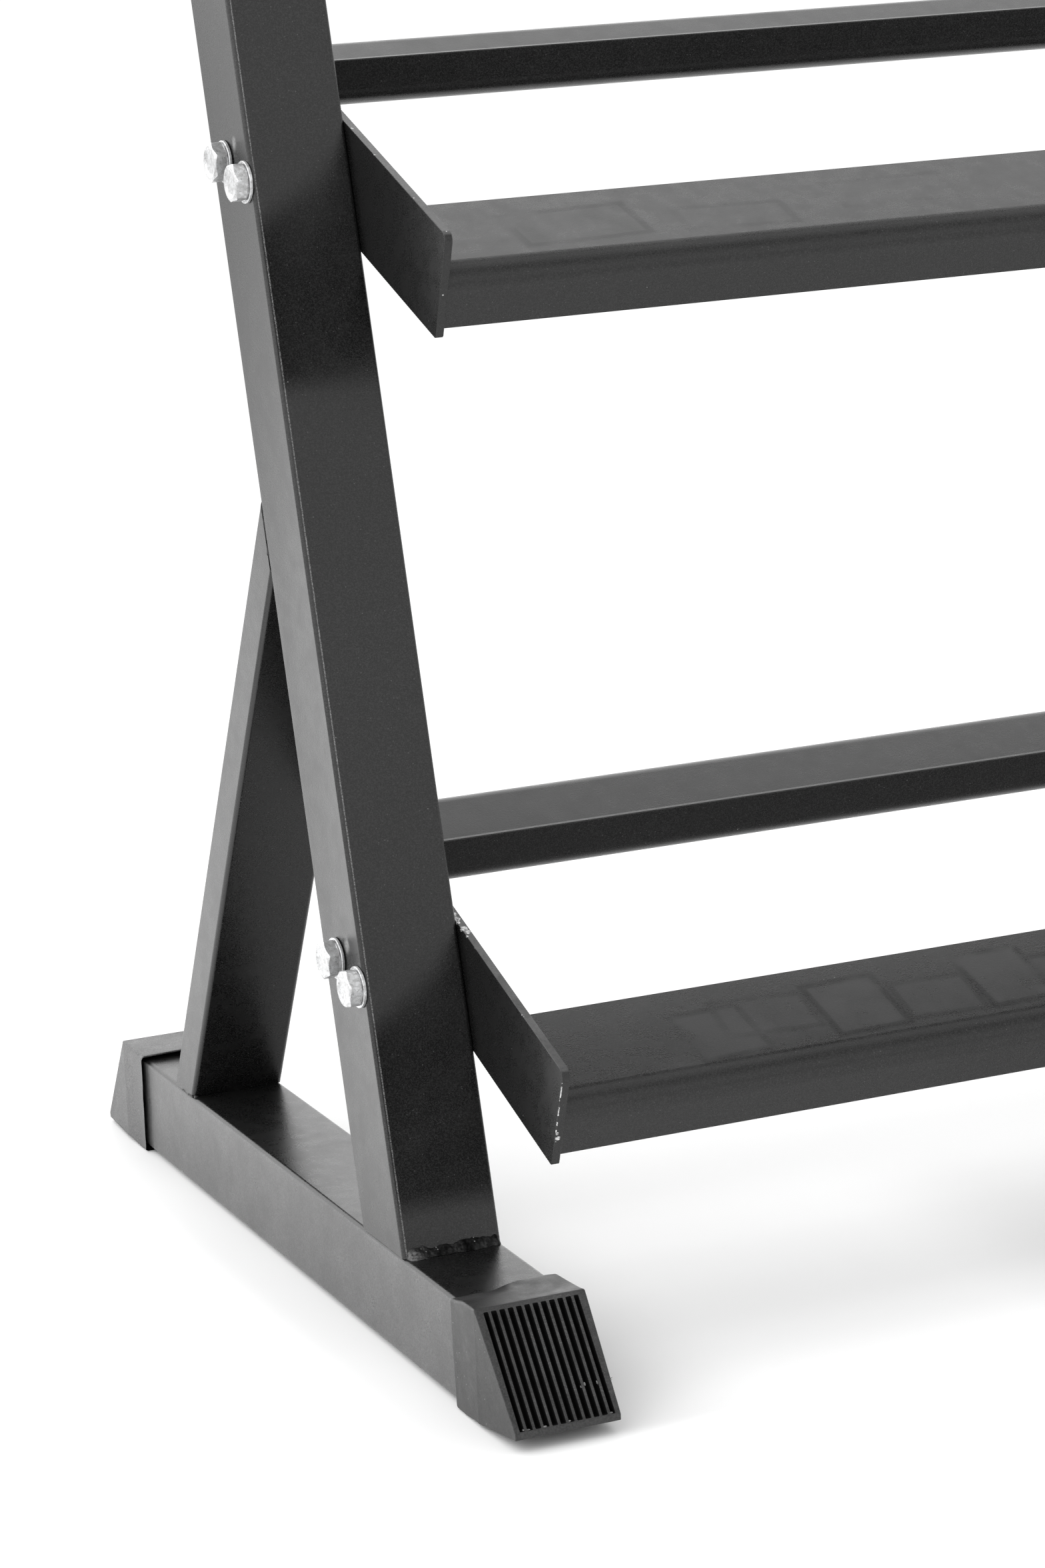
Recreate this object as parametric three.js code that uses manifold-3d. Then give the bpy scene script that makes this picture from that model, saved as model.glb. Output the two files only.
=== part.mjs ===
// Three-tier dumbbell rack, millimetres, +Z up, front towards -Y.
//
// Two welded side frames (foot tube, leaning upright, rear brace) stand on
// wedge-shaped foot caps. Three sloping shelves are bolted between them. Each
// shelf has two flat-bar end plates, a folded front rail that carries the
// front heads and a folded rear rail whose raised lip keeps the rear heads
// from sliding forward. Each end plate is held to its upright by two
// M10 bolts that pass through the tube, with a flat washer under the head and
// a flanged lock nut behind the plate.
//
// The origin is on the floor, under the middle of the overall box.

import * as THREE from 'three';
import { mergeVertices } from 'three/addons/utils/BufferGeometryUtils.js';
import Module from 'manifold-3d';

const wasm = await Module();
wasm.setup();

// ---------------------------------------------------------------- dimensions
const DEG = Math.PI / 180;

const RAIL_LENGTH = 1100;        // clear width between the end plates
const PLATE_T = 4;               // end plate thickness
const TUBE = 50;                 // foot and upright tube, square
const TUBE_WALL = 2;
const TUBE_R = 2.6;              // outer corner radius of the tubes
const BRACE_DEPTH = 25;          // rear brace tube, 50 x 25
const BRACE_WALL = 1.6;

const FLOOR_GAP = 2;             // tube bottom above the floor (cap wall)
const FOOT_FRONT = -85.5;         // foot tube ends, from the upright's front foot line
const FOOT_REAR = 393.5;
const LEAN = 14 * DEG;           // upright leans back
const UPRIGHT_LEN = 1000;        // along its axis, from the top of the foot
const BRACE_ANGLE = 28.5 * DEG;  // brace leans forward
const BRACE_FOOT = 293;          // brace front face at the top of the foot
const Y_MID = 154;               // middle of the overall depth, from the foot line

const TIERS = 3;
const PITCH = 380;               // tier pitch along the upright
const TILT = 20 * DEG;           // shelves slope down towards the front
const TIER_Y = -81.22;           // front top corner of the lowest end plate
const TIER_Z = 154.44;           // (from the foot line and the tube bottom)
const PLATE_L = 262;
const PLATE_H = 52;

const RAIL_T = 2.5;              // folded sheet
const BEND_R = 4.2;              // centre-line bend radius
const FRONT_RAIL = [             // centre line, (along the slope, across it)
  [74.6, -22.6], [4.3, -21.5], [4.4, -48.8],
];
const REAR_RAIL = [
  [189.0, 0.9], [189.0, -19.9], [256.8, -19.9], [256.8, -44.0],
];

const BOLT_AT = [[119.0, -23.4], [146.6, -25.3]];   // front, rear
const BOLT_R = 5;
const HOLE_R = 5.5;
const BOLT_LEN = 70;
const HEAD_AF = 17;
const HEAD_H = 6.6;
const WASHER_R = 10;
const WASHER_T = 1.6;
const NUT_AF = 15;
const NUT_H = 10.5;

const CAP_OUT = 2.1;             // cap side beyond the tube
const CAP_MOUTH = 24;            // depth of tube held by a cap
const SLOTS = 12;
const SLOT_PITCH = 4.08;
const SLOT_W = 2.35;
const SLOT_DEPTH = 5;

// ------------------------------------------------------------------ materials
const finish = {
  coat: { color: 0x2b2b2c, roughness: 0.55, metalness: 0.15 },
  rubber: { color: 0x333333, roughness: 0.8, metalness: 0.0 },
  zinc: { color: 0xc9ccd0, roughness: 0.28, metalness: 1.0 },
  plug: { color: 0x262626, roughness: 0.6, metalness: 0.0 },
};

// ------------------------------------------------------------ solid modelling
function solid(geometry) {
  const g = geometry.clone();
  g.deleteAttribute('normal');
  g.deleteAttribute('uv');
  const m = mergeVertices(g, 1e-5);
  return new wasm.Manifold(new wasm.Mesh({
    numProp: 3,
    vertProperties: new Float32Array(m.attributes.position.array),
    triVerts: new Uint32Array(m.index.array),
  }));
}

function geometryOf(manifold) {
  const mesh = manifold.getMesh();
  const g = new THREE.BufferGeometry();
  const p = new Float32Array(mesh.numVert * 3);
  for (let i = 0; i < mesh.numVert; i++) {
    for (let k = 0; k < 3; k++) p[3 * i + k] = mesh.vertProperties[mesh.numProp * i + k];
  }
  g.setAttribute('position', new THREE.BufferAttribute(p, 3));
  g.setIndex(new THREE.BufferAttribute(new Uint32Array(mesh.triVerts), 1));
  g.computeVertexNormals();
  return g;
}

function mesh(name, shape, look) {
  const geometry = shape.isBufferGeometry ? shape : geometryOf(shape);
  const m = new THREE.Mesh(geometry, new THREE.MeshStandardMaterial(finish[look]));
  m.name = name;
  return m;
}

// A corner list with its corners rounded: each corner may have its own radius.
function rounded(points, radii, closed, steps = 4) {
  const out = [];
  const n = points.length;
  for (let i = 0; i < n; i++) {
    const r = Array.isArray(radii) ? radii[i] : radii;
    const end = !closed && (i === 0 || i === n - 1);
    if (!r || end) { out.push(points[i].slice()); continue; }
    const p = points[i];
    const a = points[(i + n - 1) % n];
    const b = points[(i + 1) % n];
    const ua = new THREE.Vector2(a[0] - p[0], a[1] - p[1]).normalize();
    const ub = new THREE.Vector2(b[0] - p[0], b[1] - p[1]).normalize();
    const half = Math.acos(THREE.MathUtils.clamp(ua.dot(ub), -1, 1)) / 2;
    const cut = r / Math.tan(half);
    const c = ua.clone().add(ub).normalize().multiplyScalar(r / Math.sin(half)).add(new THREE.Vector2(p[0], p[1]));
    const s = new THREE.Vector2(p[0] + ua.x * cut, p[1] + ua.y * cut);
    const e = new THREE.Vector2(p[0] + ub.x * cut, p[1] + ub.y * cut);
    const a0 = Math.atan2(s.y - c.y, s.x - c.x);
    let sweep = Math.atan2(e.y - c.y, e.x - c.x) - a0;
    while (sweep > Math.PI) sweep -= 2 * Math.PI;
    while (sweep < -Math.PI) sweep += 2 * Math.PI;
    for (let k = 0; k <= steps; k++) {
      const t = a0 + sweep * k / steps;
      out.push([c.x + r * Math.cos(t), c.y + r * Math.sin(t)]);
    }
  }
  return out;
}

// A centre line offset sideways; each corner keeps the bend's centre.
function offsetLine(points, d) {
  const dir = [];
  for (let i = 0; i + 1 < points.length; i++) {
    const v = new THREE.Vector2(points[i + 1][0] - points[i][0], points[i + 1][1] - points[i][1]).normalize();
    dir.push(v);
  }
  return points.map((p, i) => {
    const u = dir[Math.max(i - 1, 0)];
    const v = dir[Math.min(i, dir.length - 1)];
    const nu = new THREE.Vector2(-u.y, u.x);
    const nv = new THREE.Vector2(-v.y, v.x);
    const b = nu.clone().add(nv).normalize();
    return [p[0] + b.x * d / b.dot(nu), p[1] + b.y * d / b.dot(nu)];
  });
}

function foldedSheet(line, thickness, bend, steps = 5) {
  const turn = line.map((p, i) => {
    if (i === 0 || i === line.length - 1) return 0;
    const a = line[i - 1];
    const b = line[i + 1];
    return Math.sign((p[0] - a[0]) * (b[1] - p[1]) - (p[1] - a[1]) * (b[0] - p[0]));
  });
  const left = rounded(offsetLine(line, thickness / 2), turn.map((t) => bend - t * thickness / 2), false, steps);
  const right = rounded(offsetLine(line, -thickness / 2), turn.map((t) => bend + t * thickness / 2), false, steps);
  return left.concat(right.reverse());
}

// Outline in the (Y, Z) plane, carried along X from x0 to x1.
function alongX(outline, x0, x1, holes = []) {
  const shape = new THREE.Shape(outline.map((p) => new THREE.Vector2(p[0], p[1])));
  for (const h of holes) shape.holes.push(new THREE.Path(h.map((p) => new THREE.Vector2(p[0], p[1]))));
  const g = new THREE.ExtrudeGeometry(shape, { depth: x1 - x0, bevelEnabled: false, steps: 1 });
  g.applyMatrix4(new THREE.Matrix4().set(
    0, 0, 1, x0,
    1, 0, 0, 0,
    0, 1, 0, 0,
    0, 0, 0, 1,
  ));
  return g;
}

// Rectangular tube standing along Z, its section in X (0..width) and Y (0..depth).
function tubeZ(width, depth, wall, r, z0, z1) {
  const box = (inset) => [
    [inset, inset], [width - inset, inset], [width - inset, depth - inset], [inset, depth - inset],
  ];
  const section = rounded(box(0), r, true, 4);
  const bore = rounded(box(wall), Math.max(r - wall, 0.6), true, 2);
  const shape = new THREE.Shape(section.map((p) => new THREE.Vector2(p[0], p[1])));
  shape.holes.push(new THREE.Path(bore.map((p) => new THREE.Vector2(p[0], p[1]))));
  const g = new THREE.ExtrudeGeometry(shape, { depth: z1 - z0, bevelEnabled: false, steps: 1 });
  g.translate(0, 0, z0);
  return g;
}

function cylinderX(radius, x0, x1, y, z, segments = 16) {
  const g = new THREE.CylinderGeometry(radius, radius, x1 - x0, segments);
  g.rotateZ(-Math.PI / 2);
  g.translate((x0 + x1) / 2, y, z);
  return g;
}

// Profile of (radius, height) pairs turned about X, heights along +X.
function turnedX(profile, segments = 32) {
  const g = new THREE.LatheGeometry(profile.map((p) => new THREE.Vector2(p[0], p[1])), segments);
  g.rotateZ(-Math.PI / 2);
  return g;
}

function blockAt(x0, x1, y0, y1, z0, z1) {
  const g = new THREE.BoxGeometry(x1 - x0, y1 - y0, z1 - z0);
  g.translate((x0 + x1) / 2, (y0 + y1) / 2, (z0 + z1) / 2);
  return g;
}

// ------------------------------------------------- side frame, local position
// x runs from the outer face (0) to the inner face (50); y = 0 where the
// upright's front face meets the top of the foot; z = 0 at the tube bottom.
function tierOrigin(k) {
  return [TIER_Y + k * PITCH * Math.sin(LEAN), TIER_Z + k * PITCH * Math.cos(LEAN)];
}

function boltPoint(k, i) {
  const [s, n] = BOLT_AT[i];
  const [y, z] = tierOrigin(k);
  return [y + s * Math.cos(TILT) - n * Math.sin(TILT), z + s * Math.sin(TILT) + n * Math.cos(TILT)];
}

function footTube() {
  const g = tubeZ(TUBE, TUBE, TUBE_WALL, TUBE_R, FOOT_FRONT, FOOT_REAR);
  // the length turns from Z to Y, the section's Y becomes -Z
  g.rotateX(-Math.PI / 2);
  return solid(g);
}

function uprightTube() {
  const g = tubeZ(TUBE, TUBE, TUBE_WALL, TUBE_R, -40, UPRIGHT_LEN);
  g.rotateX(-LEAN);
  g.translate(0, 0, TUBE);
  let body = solid(g).subtract(solid(blockAt(-10, TUBE + 10, -200, 200, -100, TUBE + 0.03)));
  for (let k = 0; k < TIERS; k++) {
    for (let i = 0; i < 2; i++) {
      const [y, z] = boltPoint(k, i);
      body = body.subtract(solid(cylinderX(HOLE_R, -5, TUBE + 5, y, z)));
    }
  }
  return body;
}

function braceTube() {
  const g = tubeZ(TUBE, BRACE_DEPTH, BRACE_WALL, TUBE_R, -40, 420);
  g.rotateX(BRACE_ANGLE);
  g.translate(0, BRACE_FOOT, TUBE);
  let body = solid(g).subtract(solid(blockAt(-10, TUBE + 10, 0, 500, -100, TUBE + 0.03)));
  const front = blockAt(-10, TUBE + 10, -400, TUBE + 0.03, -200, 1200);
  front.rotateX(-LEAN);
  front.translate(0, 0, TUBE);
  body = body.subtract(solid(front));
  return body;
}

// Closed body through a row of stations. Each station is a rounded rectangle
// between a bottom point and a top point, both (y, z), with its own half width.
function loft(stations, steps = 3) {
  const ring = ({ bottom, top, half, r }) => {
    const h = Math.hypot(top[0] - bottom[0], top[1] - bottom[1]);
    const flat = rounded([[-half, 0], [half, 0], [half, h], [-half, h]], r, true, steps);
    return flat.map(([x, v]) => [
      TUBE / 2 + x,
      bottom[0] + (top[0] - bottom[0]) * v / h,
      bottom[1] + (top[1] - bottom[1]) * v / h,
    ]);
  };
  const rings = stations.map(ring);
  const n = rings[0].length;
  const points = rings.flat();
  const index = [];
  for (let i = 0; i + 1 < rings.length; i++) {
    for (let k = 0; k < n; k++) {
      const a = i * n + k;
      const b = i * n + (k + 1) % n;
      index.push(a, a + n, b, b, a + n, b + n);
    }
  }
  const last = (rings.length - 1) * n;
  for (let k = 1; k + 1 < n; k++) {
    index.push(0, k, k + 1);
    index.push(last, last + k + 1, last + k);
  }
  const g = new THREE.BufferGeometry();
  g.setAttribute('position', new THREE.BufferAttribute(new Float32Array(points.flat()), 3));
  g.setIndex(index);
  return g;
}

// Foot cap, standing along +Y from its mouth at y = 0: a sleeve over the end of
// the foot tube and a slotted wedge in front of it. lift raises the nose.
function footCap(lift) {
  const fold = 28;
  const nose = 66;
  const half = TUBE / 2 + CAP_OUT;
  let body = solid(loft([
    { bottom: [0, -FLOOR_GAP + 0.5], top: [0, 52.4], half: half - 0.5, r: 2.3 },
    { bottom: [0.6, -FLOOR_GAP], top: [0.6, 52.9], half, r: 2.6 },
    { bottom: [12, -FLOOR_GAP], top: [12, 53.5], half, r: 2.6 },
    { bottom: [fold, -0.2], top: [fold, 54.4], half, r: 2.6 },
    { bottom: [nose, 2.2 + lift], top: [nose - 0.4, 7.0 + lift], half: half - 1.1, r: 1.6 },
    { bottom: [nose + 0.5, 2.9 + lift], top: [nose + 0.4, 6.1 + lift], half: half - 1.6, r: 1.2 },
  ]));
  // socket for the tube
  body = body.subtract(solid(blockAt(-0.3, TUBE + 0.3, -5, CAP_MOUTH + 0.5, -0.25, TUBE + 0.9)));
  // slots in the sloping end face
  const top = [fold, 54.4];
  const low = [nose, 6.4 + lift];
  const len = Math.hypot(low[0] - top[0], low[1] - top[1]);
  const dir = [(low[0] - top[0]) / len, (low[1] - top[1]) / len];
  for (let i = 0; i < SLOTS; i++) {
    const x = TUBE / 2 + (i - (SLOTS - 1) / 2) * SLOT_PITCH;
    const g = new THREE.BoxGeometry(SLOT_W, len - 5.8, SLOT_DEPTH * 2);
    // the box's Y runs down the face and its Z across it
    g.rotateX(Math.atan2(dir[1], dir[0]));
    g.translate(x, top[0] + dir[0] * (len / 2 - 0.7), top[1] + dir[1] * (len / 2 - 0.7));
    body = body.subtract(solid(g));
  }
  return body;
}

// Plug for the open top of an upright: domed head and a stem inside the tube.
function topPlug() {
  const square = (half, r) => rounded([
    [TUBE / 2 - half, TUBE / 2 - half], [TUBE / 2 + half, TUBE / 2 - half],
    [TUBE / 2 + half, TUBE / 2 + half], [TUBE / 2 - half, TUBE / 2 + half],
  ], r, true, 3).map((p) => new THREE.Vector2(p[0], p[1]));
  const head = new THREE.ExtrudeGeometry(new THREE.Shape(square(TUBE / 2 - 1.6, 2)), {
    depth: 1.2, bevelEnabled: true, bevelThickness: 1.3, bevelSize: 1.5, bevelSegments: 2, steps: 1,
  });
  head.translate(0, 0, 1.4);
  const stem = new THREE.ExtrudeGeometry(new THREE.Shape(square(TUBE / 2 - TUBE_WALL - 0.5, 1.5)), {
    depth: 15, bevelEnabled: false, steps: 1,
  });
  stem.translate(0, 0, -14);
  const hollow = blockAt(TUBE / 2 - 20, TUBE / 2 + 20, TUBE / 2 - 20, TUBE / 2 + 20, -20, -1);
  return solid(head).add(solid(stem)).subtract(solid(hollow));
}

function sideFrame(side) {
  const group = new THREE.Group();
  group.add(mesh(`${side}_foot_tube`, footTube(), 'coat'));
  group.children[0].position.set(0, 0, TUBE);
  group.add(mesh(`${side}_upright_tube`, uprightTube(), 'coat'));
  group.add(mesh(`${side}_brace_tube`, braceTube(), 'coat'));

  const front = mesh(`${side}_front_foot_cap`, footCap(1.7), 'rubber');
  front.rotation.z = Math.PI;
  front.position.set(TUBE, FOOT_FRONT + CAP_MOUTH, 0);
  group.add(front);
  const rear = mesh(`${side}_rear_foot_cap`, footCap(-1.7), 'rubber');
  rear.position.set(0, FOOT_REAR - CAP_MOUTH, 0);
  group.add(rear);

  const plug = mesh(`${side}_upright_top_plug`, topPlug(), 'plug');
  const seat = new THREE.Group();
  seat.position.set(0, 0, TUBE);
  seat.rotation.x = -LEAN;
  plug.position.set(0, 0, UPRIGHT_LEN);
  seat.add(plug);
  group.add(seat);
  return group;
}

// ----------------------------------------------------------------- fasteners
// Each one stands on X = 0 and points along +X into the joint.
function boltSolid() {
  const corner = HEAD_AF / Math.sqrt(3);
  const head = solid(turnedX([
    [0, -HEAD_H], [corner * 0.89, -HEAD_H], [corner, -HEAD_H + 1.1], [corner, -0.5], [corner * 0.95, 0], [0, 0],
  ], 6));
  const shank = solid(turnedX([
    [0, -0.5], [BOLT_R, -0.5], [BOLT_R, BOLT_LEN - 1.2], [BOLT_R - 1.1, BOLT_LEN], [0, BOLT_LEN],
  ], 16));
  return head.add(shank);
}

function washerSolid() {
  return turnedX([
    [BOLT_R + 0.25, 0], [WASHER_R, 0], [WASHER_R, WASHER_T],
    [BOLT_R + 0.25, WASHER_T], [BOLT_R + 0.25, 0],
  ], 24);
}

function nutSolid() {
  const corner = NUT_AF / Math.sqrt(3);
  const flange = solid(turnedX([[0, 0], [10.7, 0], [10.7, 0.9], [8.2, 2.4], [0, 2.4]], 20));
  const hex = solid(turnedX([
    [0, 1.0], [corner, 1.0], [corner, NUT_H - 2.8], [corner * 0.84, NUT_H - 1.2], [corner * 0.72, NUT_H], [0, NUT_H],
  ], 6));
  const bore = solid(turnedX([[0, -1], [BOLT_R + 0.15, -1], [BOLT_R + 0.15, NUT_H + 1], [0, NUT_H + 1]], 16));
  return flange.add(hex).subtract(bore);
}

// --------------------------------------------------------------------- shelf
// Inside the turned group: y runs up the slope from the plates' front edge, z
// is across it from their top edge.
const GAP = 0.06;
const HALF = RAIL_LENGTH / 2;

function endPlate() {
  const outline = rounded([[0, -PLATE_H], [PLATE_L, -PLATE_H], [PLATE_L, 0], [0, 0]], [1.5, 2, 2, 4.5], true, 4);
  let body = solid(alongX(outline, 0, PLATE_T - 2 * GAP));
  for (const [s, n] of BOLT_AT) body = body.subtract(solid(cylinderX(HOLE_R, -5, PLATE_T + 5, s, n)));
  return body;
}

const HEX_TURN = [0.35, -0.2, 0.1, 0.5, -0.4, 0.22, 0.05, -0.33, 0.44, 0.15, -0.12, 0.3];

function shelf(k) {
  const tier = ['lower', 'middle', 'upper'][k];
  const turned = new THREE.Group();
  const [y, z] = tierOrigin(k);
  turned.position.set(0, y, z);
  turned.rotation.x = TILT;

  for (const side of [-1, 1]) {
    const label = side < 0 ? 'left' : 'right';
    const plate = mesh(`${tier}_tier_${label}_end_plate`, endPlate(), 'coat');
    plate.position.x = side < 0 ? -HALF - PLATE_T + GAP : HALF + GAP;
    turned.add(plate);

    BOLT_AT.forEach(([s, n], i) => {
      const which = i === 0 ? 'front' : 'rear';
      const stack = new THREE.Group();            // +X here points into the joint
      stack.position.set(side * (HALF + PLATE_T + TUBE + GAP), s, n);
      stack.rotation.z = side < 0 ? 0 : Math.PI;
      const washer = mesh(`${tier}_${label}_${which}_washer`, washerSolid(), 'zinc');
      washer.position.x = -WASHER_T;
      const bolt = mesh(`${tier}_${label}_${which}_bolt`, boltSolid(), 'zinc');
      bolt.position.x = -WASHER_T - GAP;
      bolt.rotation.x = HEX_TURN[(k * 4 + i * 2 + (side > 0 ? 1 : 0)) % 12];
      const nut = mesh(`${tier}_${label}_${which}_lock_nut`, nutSolid(), 'zinc');
      nut.position.x = TUBE + PLATE_T + 2 * GAP;
      nut.rotation.x = HEX_TURN[(k * 4 + i * 2 + 5) % 12];
      stack.add(washer, bolt, nut);
      turned.add(stack);
    });
  }

  const front = alongX(foldedSheet(FRONT_RAIL, RAIL_T, BEND_R), -HALF + GAP, HALF - GAP);
  turned.add(mesh(`${tier}_tier_front_rail`, solid(front), 'coat'));
  const rear = alongX(foldedSheet(REAR_RAIL, RAIL_T, BEND_R), -HALF + GAP, HALF - GAP);
  turned.add(mesh(`${tier}_tier_rear_rail`, solid(rear), 'coat'));
  return turned;
}

// ------------------------------------------------------------------ assembly
const rack = new THREE.Group();
const frame = new THREE.Group();
frame.position.set(0, -Y_MID, FLOOR_GAP);

const left = sideFrame('left');
left.position.x = -HALF - PLATE_T - TUBE;
const right = sideFrame('right');
right.position.x = HALF + PLATE_T;
frame.add(left, right);
for (let k = 0; k < TIERS; k++) frame.add(shelf(k));
rack.add(frame);

export default rack;
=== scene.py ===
import math

import bmesh
import bpy
import numpy as np
from mathutils import Matrix, Vector

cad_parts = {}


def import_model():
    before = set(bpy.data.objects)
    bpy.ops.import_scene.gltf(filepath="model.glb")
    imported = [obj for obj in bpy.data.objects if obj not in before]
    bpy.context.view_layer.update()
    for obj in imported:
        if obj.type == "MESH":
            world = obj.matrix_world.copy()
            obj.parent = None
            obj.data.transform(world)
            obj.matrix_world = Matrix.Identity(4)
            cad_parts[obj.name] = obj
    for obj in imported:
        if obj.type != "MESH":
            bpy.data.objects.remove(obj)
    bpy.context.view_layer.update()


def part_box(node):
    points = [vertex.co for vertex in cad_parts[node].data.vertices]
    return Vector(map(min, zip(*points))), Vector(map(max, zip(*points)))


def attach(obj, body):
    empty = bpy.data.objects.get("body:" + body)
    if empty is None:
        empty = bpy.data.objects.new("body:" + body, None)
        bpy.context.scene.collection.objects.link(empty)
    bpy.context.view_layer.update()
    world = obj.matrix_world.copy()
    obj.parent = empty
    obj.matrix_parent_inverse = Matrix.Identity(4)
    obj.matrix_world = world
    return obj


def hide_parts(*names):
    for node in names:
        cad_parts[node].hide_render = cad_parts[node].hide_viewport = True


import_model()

# ---------------------------------------------------------------- dimensions
# Millimetres. "Frame" coordinates: x from the outer face (0) of a side frame
# to its inner face (50), y from the line where the upright's front face meets
# the foot, z from the bottom of the foot tube.
foot_lo, foot_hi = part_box("left_foot_tube")
XO = -foot_lo.x * 1000.0
YO = -85.5 - foot_lo.y * 1000.0
ZO = foot_lo.z * 1000.0
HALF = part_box("lower_tier_front_rail")[1].x * 1000.0 + 0.06

LEAN = math.radians(14.0)
BRACE = math.radians(28.5)
TILT = math.radians(20.0)
PITCH = 380.0
TIER_Y, TIER_Z = -81.22, 154.44
PLATE_T = 4.0
SA, CA = math.sin(LEAN), math.cos(LEAN)
SB, CB = math.sin(BRACE), math.cos(BRACE)
ST, CT = math.sin(TILT), math.cos(TILT)
TIERS = ("lower", "middle", "upper")
BOLTS = ((119.0, -23.4), (146.6, -25.3))


# ------------------------------------------------------------------ 2D helpers
def rounded(points, radii, closed=True, steps=6):
    """Corner list with its corners rounded; each corner may have its own radius."""
    out, n = [], len(points)
    for i, p in enumerate(points):
        r = radii[i] if hasattr(radii, "__len__") else radii
        if not r or (not closed and i in (0, n - 1)):
            out.append(tuple(p))
            continue
        a, b = points[i - 1], points[(i + 1) % n]
        ua = np.array([a[0] - p[0], a[1] - p[1]], float)
        ub = np.array([b[0] - p[0], b[1] - p[1]], float)
        ua /= np.hypot(*ua)
        ub /= np.hypot(*ub)
        half = math.acos(max(-1, min(1, float(ua @ ub)))) / 2
        cut = r / math.tan(half)
        mid = ua + ub
        mid /= np.hypot(*mid)
        c = np.array(p, float) + mid * r / math.sin(half)
        s, e = np.array(p) + ua * cut, np.array(p) + ub * cut
        a0 = math.atan2(s[1] - c[1], s[0] - c[0])
        sweep = math.atan2(e[1] - c[1], e[0] - c[0]) - a0
        while sweep > math.pi:
            sweep -= 2 * math.pi
        while sweep < -math.pi:
            sweep += 2 * math.pi
        for k in range(steps + 1):
            t = a0 + sweep * k / steps
            out.append((c[0] + r * math.cos(t), c[1] + r * math.sin(t)))
    return out


def offset_line(pts, d):
    dirs = []
    for a, b in zip(pts, pts[1:]):
        v = np.array([b[0] - a[0], b[1] - a[1]], float)
        dirs.append(v / np.hypot(*v))
    out = []
    for i, p in enumerate(pts):
        u, v = dirs[max(i - 1, 0)], dirs[min(i, len(dirs) - 1)]
        nu, nv = np.array([-u[1], u[0]]), np.array([-v[1], v[0]])
        b = nu + nv
        b /= np.hypot(*b)
        out.append((p[0] + b[0] * d / float(b @ nu), p[1] + b[1] * d / float(b @ nu)))
    return out


def folded_sheet(line, t, bend, steps=10, edge=0.55):
    """Section of a folded sheet, its cut edges slightly rounded."""
    turn = [0] * len(line)
    for i in range(1, len(line) - 1):
        a, p, b = line[i - 1], line[i], line[i + 1]
        turn[i] = np.sign((p[0] - a[0]) * (b[1] - p[1]) - (p[1] - a[1]) * (b[0] - p[0]))
    left = offset_line(line, t / 2)
    right = offset_line(line, -t / 2)
    pts = left + right[::-1]
    n = len(line)
    radii = []
    for i in range(n):
        radii.append(edge if i in (0, n - 1) else bend - turn[i] * t / 2)
    for i in range(n - 1, -1, -1):
        radii.append(edge if i in (0, n - 1) else bend + turn[i] * t / 2)
    out = []
    ring = rounded(pts, radii, True, steps)
    return ring


def smooth01(a, b, v):
    t = np.clip((np.asarray(v, float) - a) / (b - a), 0, 1)
    return t * t * (3 - 2 * t)


class Noise:
    """Repeatable smooth value noise in one or two variables."""

    def __init__(self, seed):
        self.g = np.random.RandomState(seed).rand(256)

    def at(self, x, y=0.0):
        x, y = np.asarray(x, float), np.asarray(y, float)
        xi, yi = np.floor(x).astype(int), np.floor(y).astype(int)
        fx, fy = x - xi, y - yi
        fx, fy = fx * fx * (3 - 2 * fx), fy * fy * (3 - 2 * fy)
        h = lambda a, b: self.g[(a * 57 + b * 131 + 7) % 256]
        top = h(xi, yi) * (1 - fx) + h(xi + 1, yi) * fx
        bot = h(xi, yi + 1) * (1 - fx) + h(xi + 1, yi + 1) * fx
        return (top * (1 - fy) + bot * fy) * 2 - 1


# ---------------------------------------------------------------- mesh helpers
def loft(rings, closed=False, caps=True):
    """Quads between equal rings of 3D points; ends closed with one face each."""
    n = len(rings[0])
    V = np.concatenate([np.asarray(r, float) for r in rings])
    F = []
    m = len(rings)
    for i in range(m if closed else m - 1):
        j = (i + 1) % m
        for k in range(n):
            l = (k + 1) % n
            F.append((i * n + k, i * n + l, j * n + l, j * n + k))
    if caps and not closed:
        F.append(tuple(range(n - 1, -1, -1)))
        F.append(tuple((m - 1) * n + k for k in range(n)))
    return V, F


def joined(*parts):
    V, F, n = [], [], 0
    for v, f in parts:
        V.append(np.asarray(v, float))
        F += [tuple(i + n for i in q) for q in f]
        n += len(v)
    return np.concatenate(V), F


def to_frame(V, side):
    """Frame millimetres to world metres on the left or right side frame."""
    V = np.asarray(V, float)
    W = np.empty_like(V)
    W[:, 0] = (V[:, 0] - XO) if side == "left" else (XO - V[:, 0])
    W[:, 1] = V[:, 1] - YO
    W[:, 2] = V[:, 2] + ZO
    return W / 1000.0


def from_tier(V, k):
    """(world x, s up the slope, n across it) of tier k to world metres."""
    V = np.asarray(V, float)
    y0 = TIER_Y + k * PITCH * SA - YO
    z0 = TIER_Z + k * PITCH * CA + ZO
    W = np.empty_like(V)
    W[:, 0] = V[:, 0]
    W[:, 1] = y0 + V[:, 1] * CT - V[:, 2] * ST
    W[:, 2] = z0 + V[:, 1] * ST + V[:, 2] * CT
    return W / 1000.0


def bolt_yz(k, i):
    """Bolt axis in frame (y, z)."""
    s, n = BOLTS[i]
    return (TIER_Y + k * PITCH * SA + s * CT - n * ST, TIER_Z + k * PITCH * CA + s * ST + n * CT)


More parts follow.
